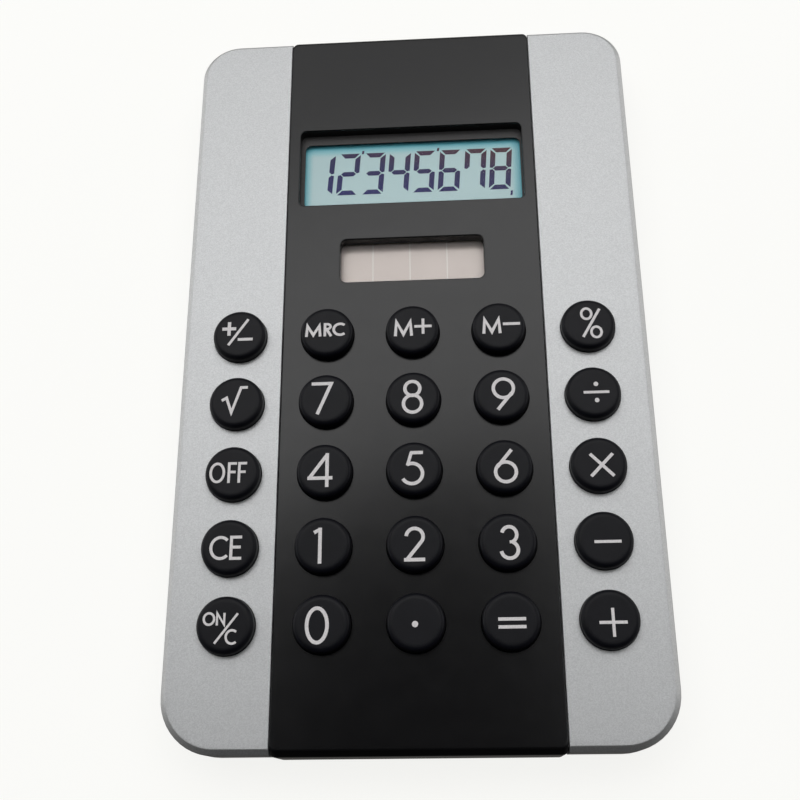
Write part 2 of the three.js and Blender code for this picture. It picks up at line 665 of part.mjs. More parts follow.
function solarLead(side) {
  const startX = SOLAR_CELL.width / 2 - LEAD_START_INSET;
  const endZ = BOARD_TOP_Z + LEAD_RADIUS + FIT_GAP;
  const heights = [...LEAD_DROPS.map((drop) => solarBottomZ - drop), endZ, endZ];
  const path = heights.map((z, index) => [
    side * (startX + LEAD_OUT_X[index]),
    SOLAR_CELL.y - LEAD_DOWN_Y[index],
    z,
  ]);
  return toGeometry(toSolid(tube(path, LEAD_RADIUS, LEAD_STEPS)));
}

addPart("solar_lead_red", solarLead(-1), "leadRed");
addPart("solar_lead_black", solarLead(1), "leadBlack");

// ---- Button cell and contacts ----------------------------------------------------------------

function buttonCell() {
  const profile = [
    [0, CELL_BOTTOM_Z],
    [CELL.radius, CELL_BOTTOM_Z],
    [CELL.radius, CELL_TOP_Z - CELL.stepHeight],
    [CELL.radius - CELL.step, CELL_TOP_Z - CELL.stepHeight],
    [CELL.radius - CELL.step, CELL_TOP_Z],
    [0, CELL_TOP_Z],
  ];
  const geometry = turned(profile, CELL_SIDES);
  geometry.translate(CELL.x, CELL.y, 0);
  return toGeometry(toSolid(geometry));
}

// A thin strip bent in the X-Z plane: its middle line is given, and it runs square to that plane.
function bentStrip(line, thickness, y0, y1) {
  const points = line.map(([x, z]) => new THREE.Vector2(x, z));
  const side = (index, sign) => {
    const before = points[Math.max(index - 1, 0)];
    const after = points[Math.min(index + 1, points.length - 1)];
    const here = points[index];
    const arriving = here.clone().sub(before).normalize();
    const leaving = after.clone().sub(here).normalize();
    const along = arriving.add(leaving).normalize();
    const reference = index > 0 ? here.clone().sub(before).normalize() : leaving;
    const mitre = 1 / Math.max(along.dot(reference), 0.5);
    const reach = sign * mitre * thickness / 2;
    return [here.x - along.y * reach, here.y + along.x * reach];
  };
  const left = points.map((_, index) => side(index, 1));
  const right = points.map((_, index) => side(index, -1)).reverse();
  return extrudeAlongY([...left, ...right], y0, y1);
}

// A leaf spring under the bay's roof, bowed down to the cell's small face, which passes up through the
// roof and over to the board.
function negativeContact() {
  const half = CONTACT_THICKNESS / 2;
  const padZ = BOARD_TOP_Z + half + SEAT_GAP;
  return bentStrip([
    [CELL.x + NEGATIVE_SPRING_REACH, BAY_ROOF_UNDER_Z - half - FIT_GAP],
    [CELL.x, CELL_TOP_Z + half + NEGATIVE_TOUCH_GAP],
    [NEGATIVE_RISER_X, CELL_TOP_Z + half + BOSS_GAP],
    [NEGATIVE_RISER_X, CONTACT_BRIDGE_Z + half],
    [CONTACT_PAD_X, CONTACT_BRIDGE_Z + half],
    [CONTACT_PAD_X, padZ],
    [CONTACT_PAD_X - CONTACT_FOOT, padZ],
  ], CONTACT_THICKNESS, CELL.y - CONTACT_WIDTH / 2, CELL.y + CONTACT_WIDTH / 2);
}

// A blade beside the cell's can, which passes up through the roof and over to the board.
function positiveContact() {
  const halfBlade = POSITIVE_BLADE_WIDTH / 2;
  const bladeY = POSITIVE_BLADE_Y;
  const bridgeTopZ = CONTACT_BRIDGE_Z + CONTACT_THICKNESS;
  const bridgeY = bladeY + POSITIVE_BRIDGE_WIDTH;
  const outerY = bladeY + POSITIVE_BLADE_THICKNESS;
  const legX = CONTACT_PAD_X + CONTACT_THICKNESS;
  const lowZ = CELL_BOTTOM_Z + BOSS_GAP;
  const blade = toSolid(box(CELL.x - halfBlade, CELL.x + halfBlade, bladeY, outerY, lowZ, bridgeTopZ));
  return join(blade, [
    box(CONTACT_PAD_X, CELL.x + halfBlade, bladeY, bridgeY, CONTACT_BRIDGE_Z, bridgeTopZ),
    box(CONTACT_PAD_X, legX, bladeY, bridgeY, BOARD_TOP_Z + SEAT_GAP, bridgeTopZ),
  ]);
}

addPart("button_cell", buttonCell(), "steel");
addPart("battery_contact_negative", toGeometry(toSolid(negativeContact())), "steel");
addPart("battery_contact_positive", toGeometry(positiveContact()), "steel");

// ---- Screws and feet -------------------------------------------------------------------------

function screw(x, y, headBottomZ, tipZ) {
  const headTopZ = headBottomZ + SCREW_HEAD_THICKNESS - FIT_GAP;
  const body = join(toSolid(disc(SCREW_HEAD_RADIUS, x, y, headBottomZ, headTopZ, SCREW_SIDES)), [
    disc(SCREW_RADIUS, x, y, headTopZ - OVERLAP, tipZ, SCREW_SIDES),
  ]);
  const long = 2 * SCREW_CROSS_REACH;
  const slotZ = headBottomZ + SCREW_HEAD_THICKNESS / 2;
  return toGeometry(cut(body, [
    centredBox(long, SCREW_CROSS_WIDTH, x, y, headBottomZ - OVERCUT, slotZ),
    centredBox(SCREW_CROSS_WIDTH, long, x, y, headBottomZ - OVERCUT, slotZ),
  ]));
}

caseScrewPlaces.forEach(([x, y], index) => {
  addPart(`case_screw_${index + 1}`, screw(x, y, CASE_SCREW_HEAD_BOTTOM_Z, CASE_SCREW_TIP_Z), "steel");
});
boardScrewPlaces.forEach(([x, y], index) => {
  const headZ = BOARD_BOTTOM_Z - SCREW_HEAD_THICKNESS;
  addPart(`board_screw_${index + 1}`, screw(x, y, headZ, BOARD_SCREW_TIP_Z), "steel");
});
footPlaces.forEach(([x, y], index) => {
  addPart(`rubber_foot_${index + 1}`, disc(FOOT_RADIUS, x, y, 0, FOOT_TOP_Z), "footRubber");
});

export default calculator;
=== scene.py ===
import math
from collections import namedtuple

import bmesh
import bpy
from mathutils import Matrix, Vector
from mathutils.geometry import delaunay_2d_cdt


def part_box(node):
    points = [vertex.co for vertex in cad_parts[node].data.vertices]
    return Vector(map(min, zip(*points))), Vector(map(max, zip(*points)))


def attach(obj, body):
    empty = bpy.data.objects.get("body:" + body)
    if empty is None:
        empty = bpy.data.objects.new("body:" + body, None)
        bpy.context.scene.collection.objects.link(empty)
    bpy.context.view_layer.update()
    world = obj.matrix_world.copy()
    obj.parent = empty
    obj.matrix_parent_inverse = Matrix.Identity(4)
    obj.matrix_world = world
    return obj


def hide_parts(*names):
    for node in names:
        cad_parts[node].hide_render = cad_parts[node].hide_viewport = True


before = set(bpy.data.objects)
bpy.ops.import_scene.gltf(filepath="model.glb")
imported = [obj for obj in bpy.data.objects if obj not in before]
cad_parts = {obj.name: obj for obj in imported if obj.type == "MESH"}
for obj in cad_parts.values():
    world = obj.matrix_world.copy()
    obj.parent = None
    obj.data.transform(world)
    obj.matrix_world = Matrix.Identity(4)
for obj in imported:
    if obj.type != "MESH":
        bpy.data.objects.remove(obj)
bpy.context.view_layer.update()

MM = 0.001
HOUSING = "housing"
DOOR = "battery_door"
KEYS = sorted(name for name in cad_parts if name.startswith("key_"))


def box_mm(node):
    """A CAD node's lowest and highest corners, in millimetres."""
    low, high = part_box(node)
    return low / MM, high / MM


def centre_mm(node):
    low, high = box_mm(node)
    return (low + high) / 2


# ---- Sizes, in millimetres ----

CASE_HALF = box_mm("front_case")[1]
STRIP_LOW, STRIP_HIGH = box_mm("centre_fascia")
FACE_Z = STRIP_HIGH.z
PARTING_Z = 3.6
SKIN_UNDER_Z = 7.55
RECESS_Z = 8.3
CORNER_DISPLAY_END = 6.2
CORNER_KEY_END = 7.8
FACE_BEVEL = 0.8
WALL = 1.6
FIT_GAP = 0.1
BEVEL_ROUND = 0.5
FLAT_ROUND = BEVEL_ROUND * 0.6
EDGE_ROUND = 0.12

# How far a cutter runs past a surface and past the body's edge, how far an addition runs into the
# face, and the heights between which the face is cut
OVERCUT = 1
EDGE_OVERCUT = 5
OVERLAP = 0.2
CUT_LOW_Z, CUT_HIGH_Z = 7, 10

BACK_Z = 0.8
BACK_BEVEL = 0.8
REAR_INSET = 0.4
REAR_RIM_Z = 3.5
FLOOR_TOP_Z = 2.0
# The height in the floor from which the bay's wall and the foot bosses rise
FLOOR_ROOT_Z = 1.9
LIP_TOP_Z = 4.6
LIP_INSET = 1.7
LIP_THICKNESS = 0.8

STRIP_UNDER_Z = 8.4
STRIP_ARM = 1.0
STRIP_SKIRT = 0.9
STRIP_CORNER = 0.8
STRIP_SIDE_ROUND = 0.16
STRIP_TOP_ROUND = 0.546

SCREW_HOLE_RADIUS = 1.25
SCREW_HOLE_TOP_Z = 7.2
SCREW_WELL_RADIUS = 2.1
SCREW_SEAT_Z = 1.7
CASE_BOSS_RADIUS = 2.4
BOSS_SPACE_RADIUS = 2.6
BOARD_BOSS_RADIUS = 1.9
BOARD_BOSS_LOW_Z = 4.4
FOOT_WELL_RADIUS = 4.1
FOOT_WELL_TOP_Z = 1.4
FOOT_BOSS_RADIUS = 5
FOOT_BOSS_TOP_Z = 2.3
WELL_FLARE = 0.15
WELL_LOW_Z = -0.5

KEY_RADIUS = 4.0
KEY_TOP_ROUND = 0.7
KEY_HOLE_RADIUS = 4.075
KEY_HOLE_ROUND = 0.06
KEY_SPACE_RADIUS = 4.5
KEY_FLANGE_RADIUS = 4.9
KEY_FLANGE_LOW_Z, KEY_FLANGE_TOP_Z = 6.75, 7.4
KEY_FLANGE_ROUND = 0.1
KEY_STEM_RADIUS = 1.5
KEY_STEM_LOW_Z = 6.15
KEY_SIDES = 72
INK_PROUD = 0.02

DISPLAY_WINDOW = {"width": 35.9, "length": 13.95, "x": 0.0, "y": 32.65, "radius": 0.9}
SOLAR_WINDOW = {"width": 22.3, "length": 7.4, "x": 0.0, "y": 15.5, "radius": 1.0}
MASK_APERTURE = {"width": 35.05, "length": 11.83, "x": 0.17, "y": 32.09, "radius": 1.0}
WINDOWS = (DISPLAY_WINDOW, SOLAR_WINDOW)
WINDOW_ROUND = 0.2

CELL_RADIUS = 5.8
BAY_RADIUS = 6.15
BAY_FLARE = 0.3
BAY_WALL_RADIUS = 7.2
BAY_ROOF_UNDER_Z = 5.55
BAY_ROOF_TOP_Z = 6.4

DOOR_HALF_LENGTH = 7.8
DOOR_THICKNESS = 1.0
DOOR_GAP = 0.15
DOOR_OPENING_TOP_Z = 1.95
TONGUE_REACH = 0.8
TONGUE_SHORT = 2.5
TONGUE_LOW_Z, TONGUE_TOP_Z = 1.2, 1.6
GROOVE_LENGTH, GROOVE_WIDTH, GROOVE_PITCH, GROOVES = 7, 0.5, 1.2, 3
# How far the first groove and the arrow lie in from the door's outer edge
FIRST_GROOVE_IN, ARROW_IN = 4.95, 9.6
# The two slots that the battery contacts pass through, each as x0, x1, y0, y1, z0, z1
CONTACT_SLOTS = ((24.6, 27.2, 20.95, 21.75, 5, 7.4), (20.6, 21.4, 13.6, 17.2, 5, 7.4))

# ---- Outlines and profiles ----


def arc(x, y, radius_x, radius_y, start, end, steps=12):
    """Points of an elliptical arc about (x, y), from one angle to another in degrees."""
    angles = [math.radians(start + (end - start) * i / steps) for i in range(steps + 1)]
    return [(x + radius_x * math.cos(a), y + radius_y * math.sin(a)) for a in angles]


def circle(x, y, radius, sides):
    return arc(x, y, radius, radius, 0, 360, sides)[:-1]


def rounded_rectangle(width, length, top_radius, bottom_radius, centre=(0.0, 0.0), steps=12):
    """A rectangle with one corner radius at its +Y end and another at its -Y end."""
    x, y = centre
    half_w, half_l = width / 2, length / 2
    corners = (
        (half_w - top_radius, half_l - top_radius, top_radius, 0),
        (top_radius - half_w, half_l - top_radius, top_radius, 90),
        (bottom_radius - half_w, bottom_radius - half_l, bottom_radius, 180),
        (half_w - bottom_radius, bottom_radius - half_l, bottom_radius, 270),
    )
    points = []
    for corner_x, corner_y, radius, start in corners:
        points += arc(x + corner_x, y + corner_y, radius, radius, start, start + 90, steps)
    return points


def body_outline(inset):
    """The outline of the whole body, shrunk by an inset."""
    return rounded_rectangle(
        2 * (CASE_HALF.x - inset),
        2 * (CASE_HALF.y - inset),
        CORNER_DISPLAY_END - inset,
        CORNER_KEY_END - inset,
    )


def window_outline(window, grow):
    radius = window["radius"] + grow
    return rounded_rectangle(
        window["width"] + 2 * grow,
        window["length"] + 2 * grow,
        radius,
        radius,
        centre=(window["x"], window["y"]),
        steps=8,
    )


def fillet(corner, before, after, radius, steps=4):
    """Points that round one corner of a profile."""
    corner, before, after = Vector(corner), Vector(before), Vector(after)
    into = (before - corner).normalized()
    out = (after - corner).normalized()
    half = into.angle(out) / 2
    first = corner + into * radius / math.tan(half)
    last = corner + out * radius / math.tan(half)
    middle = corner + (into + out).normalized() * radius / math.sin(half)
    start = first - middle
    turn = start.angle_signed(last - middle)
    return [tuple(middle + Matrix.Rotation(-turn * i / steps, 2) @ start) for i in range(steps + 1)]


def rounded_profile(*points):
    """A profile from (x, y) points and (x, y, radius) points, the latter rounded."""
    places = [point[:2] for point in points]
    result = []
    for i, (x, y, *radius) in enumerate(points):
        if radius:
            result += fillet(places[i], places[i - 1], places[(i + 1) % len(points)], *radius)
        else:
            result.append((x, y))
    return result


# ---- Meshes ----


def at_height(outline, z):
    return [(x, y, z) for x, y in outline]


def loft(rings):
    """A closed mesh through rings of equal length, with both ends capped."""
    mesh = bmesh.new()
    loops = [[mesh.verts.new(Vector(point) * MM) for point in ring] for ring in rings]
    for lower, upper in zip(loops, loops[1:]):
        for i in range(len(lower)):
            j = (i + 1) % len(lower)
            mesh.faces.new((lower[i], lower[j], upper[j], upper[i]))
    mesh.faces.new(list(reversed(loops[0])))
    mesh.faces.new(loops[-1])
    bmesh.ops.recalc_face_normals(mesh, faces=mesh.faces[:])
    return mesh


def prism(outline, low_z, high_z):
    return loft([at_height(outline, low_z), at_height(outline, high_z)])


def body_loft(profile):
    """A loft of the body's outline through (inset, height) points."""
    return loft([at_height(body_outline(inset), z) for inset, z in profile])


def bar_along_y(section, low_y, high_y):
    """A solid with one section, of (x, height) points, all along Y."""
    return loft([[(x, y, z) for x, z in section] for y in (low_y, high_y)])


def turned(at, profile, sides=48):
    """A solid turned about a vertical axis, from (radius, height) points whose ends are flat."""
    return loft([at_height(circle(at.x, at.y, radius, sides), z) for radius, z in profile])


def block(x0, x1, y0, y1, z0, z1):
    return prism([(x0, y0), (x1, y0), (x1, y1), (x0, y1)], z0, z1)


def mouth(edge_round, low_z=CUT_LOW_Z, steps=4):
    """(growth, height) pairs for a cutter whose mouth rounds the edge of its hole in the face."""
    pairs = [(0.0, low_z)]
    for step in range(steps + 1):
        angle = math.radians(90 * step / steps)
        rise = edge_round * math.sin(angle)
        pairs.append((edge_round * (1 - math.cos(angle)), FACE_Z - edge_round + rise))
    return pairs + [(edge_round, FACE_Z + 2 * OVERCUT)]


def key_hole(at):
    rings = [(KEY_HOLE_RADIUS + grow, z) for grow, z in mouth(KEY_HOLE_ROUND)]
    return turned(at, rings, KEY_SIDES)


def window_hole(window):
    return loft([at_height(window_outline(window, grow), z) for grow, z in mouth(WINDOW_ROUND)])


def added(name, data):
    """A new object in the scene."""
    piece = bpy.data.objects.new(name, data)
    bpy.context.scene.collection.objects.link(piece)
    return piece


def to_object(name, mesh):
    data = bpy.data.meshes.new(name)
    mesh.to_mesh(data)
    mesh.free()
    return added(name, data)


def merged(name, meshes):
    """Several separate meshes as one object."""
    whole = bmesh.new()
    for mesh in meshes:
        data = bpy.data.meshes.new("part")
        mesh.to_mesh(data)
        mesh.free()
        whole.from_mesh(data)
        bpy.data.meshes.remove(data)
    return to_object(name, whole)


def modify(piece, kind, **settings):
    """Replaces the piece's mesh by what a modifier makes of it."""
    modifier = piece.modifiers.new(kind, kind)
    for setting, value in settings.items():
        setattr(modifier, setting, value)
    bpy.context.view_layer.update()
    graph = bpy.context.evaluated_depsgraph_get()
    data = bpy.data.meshes.new_from_object(piece.evaluated_get(graph))
    old = piece.data
    piece.modifiers.clear()
    piece.data = data
    bpy.data.meshes.remove(old)


def combine(piece, meshes, operation):
    tool = merged("tool", meshes)
    modify(piece, "BOOLEAN", operation=operation, solver="EXACT", object=tool)
    bpy.data.objects.remove(tool)


def cut(piece, *meshes):
    combine(piece, meshes, "DIFFERENCE")


def join(piece, *meshes):
    combine(piece, meshes, "UNION")


def smooth(piece, sharp_degrees=31.0):
    """Shades the small roundings smooth and keeps the flat faces flat."""
    data = piece.data
    data.polygons.foreach_set("use_smooth", [True] * len(data.polygons))
    data.set_sharp_from_angle(angle=math.radians(sharp_degrees))
    modify(piece, "WEIGHTED_NORMAL", keep_sharp=True, weight=75)


def soften(piece, width, sharp_degrees=40.0, segments=3):
    """Rounds the piece's sharp edges."""
    angle = math.radians(sharp_degrees)
    limits = {"limit_method": "ANGLE", "angle_limit": angle}
    modify(piece, "BEVEL", width=width * MM, segments=segments, **limits)


def place(piece, material, slot, body=HOUSING, replaced=()):
    """Gives a new piece its material and the body that it moves with; the slot argument is not
    used.
    """
    piece.data.materials.clear()
    piece.data.materials.append(material)
    if replaced:
        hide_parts(*replaced)
    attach(piece, body)


def repaint(node, material):
    """Gives a carried-over CAD node its material."""
    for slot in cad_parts[node].material_slots:
        slot.material = material


# ---- Materials ----


class Nodes:
    """Short calls for the nodes of a tree. Pattern sizes are in millimetres."""

    def __init__(self, tree, coordinates):
        self.tree = tree
        self.place = self.add("ShaderNodeTexCoord")[coordinates]

    def feed(self, node, socket, source):
        """Links a source into a socket, or sets the socket where the source is a plain value."""
        if isinstance(source, bpy.types.NodeSocket):
            self.tree.links.new(source, node.inputs[socket])
        else:
            node.inputs[socket].default_value = source

    def add(self, kind, sources=(), **settings):
        """The outputs of a new node, made from its settings and its (socket, source) pairs."""
        node = self.tree.nodes.new(kind)
        for setting, value in settings.items():
            setattr(node, setting, value)
        for socket, source in sources:
            self.feed(node, socket, source)
        return node.outputs

    def pattern(self, kind, size, *sources, place=None, **settings):
        """A texture whose features have the given size."""
        sources = (("Vector", place or self.place), ("Scale", 1 / (size * MM)), *sources)
        return self.add(kind, sources, **settings)

    def noise(self, size, detail=2.0, stretch=None):
        """Soft noise, lengthened along the axes whose stretch is small."""
        place = None
        if stretch:
            sources = (("Vector", self.place), ("Scale", stretch))
            place = self.add("ShaderNodeMapping", sources)["Vector"]
        return self.pattern("ShaderNodeTexNoise", size, ("Detail", detail), place=place)["Fac"]

    def grains(self, size):
        """A random number for each grain."""
        colour = self.pattern("ShaderNodeTexVoronoi", size)["Color"]
        return self.add("ShaderNodeSeparateColor", [("Color", colour)])["Red"]

    def pits(self, size):
        """Distance from the middle of each grain, for spark-eroded and moulded textures."""
        return self.pattern("ShaderNodeTexVoronoi", size, feature="SMOOTH_F1")["Distance"]

    def along_axis(self, axis):
        """The place along X, Y or Z, which is in metres on an object."""
        return self.add("ShaderNodeSeparateXYZ", [("Vector", self.place)])[axis]

    def maths(self, operation, *sources):
        return self.add("ShaderNodeMath", enumerate(sources), operation=operation)["Value"]

    def span(self, factor, low, high, start=0.0, stop=1.0):
        """A factor's range from start to stop turned into numbers from low to high."""
        limits = (("From Min", start), ("From Max", stop), ("To Min", low), ("To Max", high))
        return self.add("ShaderNodeMapRange", (("Value", factor), *limits))["Result"]

    def ramp(self, factor, *stops):
        """A colour from a factor, through (position, colour) stops."""
        node = self.tree.nodes.new("ShaderNodeValToRGB")
        elements = node.color_ramp.elements
        while len(elements) < len(stops):
            elements.new(0.5)
        for element, (position, colour) in zip(elements, stops):
            element.position = position
            element.color = (*colour, 1.0)
        self.feed(node, "Fac", factor)
        return node.outputs["Color"]

    def mixed(self, *sources):
        """One shader fading into another, from a factor and the two."""
        return self.add("ShaderNodeMixShader", enumerate(sources))["Shader"]


class Surface(Nodes):
    """A Principled material and the nodes behind it."""

    def __init__(self, name, colour, roughness, **sockets):
        self.material = bpy.data.materials.new(name)
        self.material.use_nodes = True
        super().__init__(self.material.node_tree, "Object")
        self.shader = self.tree.nodes["Principled BSDF"]
        self.colour((*colour, 1.0))
        self.feed(self.shader, "Roughness", roughness)
        for socket, value in sockets.items():
            self.feed(self.shader, socket.replace("_", " "), value)

    def colour(self, source):
        self.feed(self.shader, "Base Color", source)

    def roughness(self, factor, low, high):
        self.feed(self.shader, "Roughness", self.span(factor, low, high))

    def relief(self, *layers):
        """Bump from (height, depth in millimetres) layers, one on top of the other."""
        below = ()
        for height, depth in layers:
            sources = (("Distance", depth * MM), ("Height", height), *below)
            normal = self.add("ShaderNodeBump", sources)["Normal"]
            below = (("Normal", normal),)
        self.feed(self.shader, "Normal", normal)


Noise = namedtuple("Noise", "size detail stretch", defaults=(2.0, None))
Pits = namedtuple("Pits", "size")


def patterned(name, tone, dark, light, roughness, gloss=None, relief=(), **sockets):
    """A material that drifts between two colours.

    tone is the pattern of the drift, and dark and light are its (position, colour) stops. gloss is
    the pattern of the roughness, which follows tone where there is none. relief lists (pattern,
    depth in millimetres) layers.
    """
    surface = Surface(name, light[1], roughness[0], **sockets)

    def laid(pattern):
        return surface.pits(*pattern) if isinstance(pattern, Pits) else surface.noise(*pattern)

    drift = laid(tone)
    surface.colour(surface.ramp(drift, dark, light))
    surface.roughness(laid(gloss) if gloss else drift, *roughness)
    if relief:
        surface.relief(*[(laid(pattern), depth) for pattern, depth in relief])
    return surface.material


def scaled(colour, factor):
    return tuple(channel * factor for channel in colour)


def silver_paint():
    """Metallic paint on moulded plastic: fine flakes, each at its own tilt."""
    tone = (0.69, 0.70, 0.705)
    surface = Surface("silver_paint", tone, 0.5, Metallic=0.88)
    flakes = surface.grains(0.13)
    mottle = surface.noise(1.1, 4.0)
    mix = surface.maths("ADD", surface.span(flakes, 0.0, 0.9), surface.span(mottle, 0.0, 0.1))
    levels = ((0.1, 0.92), (0.55, 1.0), (0.95, 1.08))
    stops = [(position, scaled(tone, level)) for position, level in levels]
    surface.colour(surface.ramp(mix, *stops))
    surface.roughness(surface.grains(0.15), 0.47, 0.54)
    surface.relief((surface.noise(0.15), 0.0014), (flakes, 0.001))
    return surface.material


def satin_black():
    """Black sprayed strip with a faint satin grain and handling haze."""
    return patterned(
        "satin_black",
        Noise(22.0, 3.0),
        (0.3, (0.0018, 0.0018, 0.0022)),
        (0.75, (0.0030, 0.0029, 0.0033)),
        (0.18, 0.24),
        Noise(3.0, 6.0),
        [(Noise(0.12), 0.0012), (Noise(2.5), 0.004)],
    )


def key_rubber():
    """Moulded silicone rubber with a dry lacquer: blue-black, with a fine tooth."""
    return patterned(
        "key_rubber",
        Noise(2.4, 5.0),
        (0.25, (0.0013, 0.0014, 0.0030)),
        (0.8, (0.0026, 0.0028, 0.0052)),
        (0.37, 0.48),
        Noise(0.6, 4.0),
        [(Pits(0.14), 0.0035), (Noise(1.6), 0.01)],
        Specular_IOR_Level=0.25,
    )


def white_ink():
    """Screen-printed ink, a little thin in places."""
    return patterned(
        "white_ink",
        Noise(0.25, 4.0),
        (0.2, (0.52, 0.50, 0.51)),
        (0.6, (0.65, 0.63, 0.63)),
        (0.42, 0.6),
        Noise(0.15),
        [(Noise(0.1), 0.002)],
    )


def dark_plastic():
    """Charcoal ABS with a spark-eroded texture."""
    return patterned(
        "dark_plastic",
        Noise(5.0, 5.0),
        (0.25, (0.030, 0.031, 0.034)),
        (0.8, (0.040, 0.041, 0.044)),
        (0.46, 0.62),
        Noise(0.5, 4.0),
        [(Pits(0.32), 0.02), (Noise(0.11, 3.0), 0.008)],
    )


def mask_black():
    """Dark grey print on the inside of the display's cover."""
    return patterned(
        "mask_print",
        Noise(0.5, 4.0),
        (0.25, (0.038, 0.037, 0.037)),
        (0.8, (0.055, 0.052, 0.052)),
        (0.45, 0.6),
        Noise(0.3),
        [(Noise(0.15), 0.003)],
    )


def display_film():
    """The display's ground: pale cyan-grey, with painted shade of the window's walls as a darker,
    deeper cyan towards its far and side edges.
    """
    sockets = {"Coat_Weight": 0.25, "Coat_Roughness": 0.15}
    surface = Surface("display_film", (0.55, 0.76, 0.75), 0.38, **sockets)
    half = MASK_APERTURE["width"] / 2
    left, right = MASK_APERTURE["x"] - half, MASK_APERTURE["x"] + half
    far = MASK_APERTURE["y"] + MASK_APERTURE["length"] / 2
    across, along = surface.along_axis("X"), surface.along_axis("Y")
    # Painted shade: the ground darkens into a deeper cyan near the aperture's left, far and right
    # edges, where the window's walls shade it.
    edges = ((across, left, 1.2, 0.2), (along, far, -1.9, 0.0), (across, right, -1.6, 0.1))
    from_left, from_far, from_right = [
        surface.span(axis, least, 1.0, edge * MM, (edge + reach) * MM)
        for axis, edge, reach, least in edges
    ]
    out_of_wall_shade = surface.maths("MULTIPLY", surface.maths("MULTIPLY", from_left, from_far), from_right)
    stipple = surface.span(surface.noise(0.12, 3.0), -0.05, 0.05)
    surface.colour(surface.ramp(
        surface.maths("ADD", out_of_wall_shade, stipple),
        (0.0, (0.10, 0.60, 0.74)),
        (0.55, (0.36, 0.74, 0.80)),
        (1.0, (0.58, 0.80, 0.82)),
    ))
    surface.roughness(surface.noise(0.2), 0.32, 0.45)
    return surface.material


def display_figures():
    """Lit liquid-crystal segments: dark blue-violet, redder at their far ends and to the right."""
    surface = Surface("display_figures", (0.05, 0.04, 0.13), 0.4)
    upwards = surface.span(surface.along_axis("Y"), 0.0, 0.6, 29.0 * MM, 36.6 * MM)
    across = surface.span(surface.along_axis("X"), 0.0, 0.4, -16.0 * MM, 16.5 * MM)
    surface.colour(surface.ramp(
        surface.maths("ADD", upwards, across),
        (0.1, (0.002, 0.004, 0.16)),
        (0.55, (0.012, 0.006, 0.11)),
        (0.95, (0.09, 0.02, 0.035)),
    ))
    surface.roughness(surface.noise(0.2), 0.35, 0.5)
    return surface.material


def clear_plastic():
    """Clear acrylic cover, with fine rub marks."""
    return patterned(
        "clear_plastic",
        Noise(0.8, 6.0, (1, 0.15, 1)),
        (0.3, (0.02, 0.024, 0.024)),
        (0.8, (0.05, 0.056, 0.056)),
        (0.05, 0.16),
        Alpha=0.08,
    )


def display_glass():
    """Green-grey edge of the liquid-crystal glass."""
    dark, light = (0.2, (0.26, 0.38, 0.36)), (0.8, (0.35, 0.47, 0.44))
    return patterned("display_glass", Noise(1.5), dark, light, (0.06, 0.2), Noise(2.0))


def reflector_foil():
    """Rolled foil behind the display."""
    dark, light = (0.2, (0.62, 0.62, 0.6)), (0.8, (0.78, 0.78, 0.76))
    lines = Noise(0.3, stretch=(1, 0.08, 1))
    return patterned("reflector_foil", lines, dark, light, (0.22, 0.4), Metallic=0.9)


def solar_ground():
    """Light silver lines between the cell's fields."""
    dark, light = (0.2, (0.78, 0.76, 0.72)), (0.8, (0.86, 0.84, 0.80))
    return patterned("solar_lines", Noise(3.0, 3.0), dark, light, (0.28, 0.33), Metallic=0.35)


def solar_field():
    """Amorphous silicon behind glass, coloured a pinkish beige that is a painted reflection of the
    light; the silicon itself is dark brown-purple.
    """
    return patterned(
        "solar_field",
        Noise(5.0, 3.0, (1, 0.4, 1)),
        # Painted reflection: these light pinkish-beige tones stand in for the light panels mirrored
        # in dark silicon.
        (0.25, (0.66, 0.59, 0.55)),
        (0.8, (0.72, 0.64, 0.60)),
        (0.28, 0.33),
        Noise(4.0),
        Metallic=0.35,
    )


def board_laminate():
    """Tan paper laminate with solder-masked copper tracks."""
    surface = Surface("board_laminate", (0.34, 0.23, 0.09), 0.5)
    fibre = surface.noise(0.8, 5.0, (0.25, 1, 1))
    mortar = (("Mortar Size", 0.035), ("Mortar Smooth", 0.1))
    tracks = surface.pattern("ShaderNodeTexBrick", 4.2, *mortar)["Fac"]
    surface.colour(surface.ramp(
        surface.maths("ADD", surface.span(fibre, 0.0, 0.4), surface.span(tracks, 0.0, 0.55)),
        (0.1, (0.27, 0.175, 0.06)),
        (0.45, (0.38, 0.26, 0.10)),
        (0.75, (0.12, 0.20, 0.07)),
    ))
    surface.roughness(fibre, 0.42, 0.6)
    surface.relief((tracks, 0.03), (fibre, 0.01))
    return surface.material


def silicone():
    """Milky silicone of the dome sheet and the connector strip."""
    return patterned(
        "silicone",
        Noise(2.0, 4.0),
        (0.2, (0.47, 0.46, 0.41)),
        (0.8, (0.57, 0.56, 0.51)),
        (0.48, 0.66),
        Noise(0.4),
        [(Noise(0.25, 3.0), 0.006)],
        Subsurface_Weight=0.15,
        Subsurface_Radius=(0.0012, 0.0010, 0.0008),
    )


def epoxy():
    """The black blob of resin over the chip."""
    dark, light = (0.2, (0.004, 0.004, 0.004)), (0.8, (0.011, 0.011, 0.011))
    relief = [(Noise(1.0), 0.04)]
    return patterned("chip_epoxy", Noise(1.2, 3.0), dark, light, (0.12, 0.36), relief=relief)


def brushed_steel(name, tone, low, high):
    """Plated steel with fine drawn lines along X."""
    lines = Noise(0.12, 4.0, (0.06, 1, 1))
    dark = (0.2, scaled((tone, tone, tone * 0.98), 0.86))
    light = (0.8, scaled((tone, tone, tone), 1.1))
    relief = [(lines, 0.0015)]
    return patterned(name, lines, dark, light, (low, high), relief=relief, Metallic=1.0)


def lead_sheath(name, tone):
    """Soft insulation of a thin lead."""
    dark, light = (0.2, scaled(tone, 0.8)), (0.8, scaled(tone, 1.2))
    relief = [(Noise(0.2), 0.004)]
    return patterned(name, Noise(0.8, 3.0), dark, light, (0.34, 0.5), relief=relief)


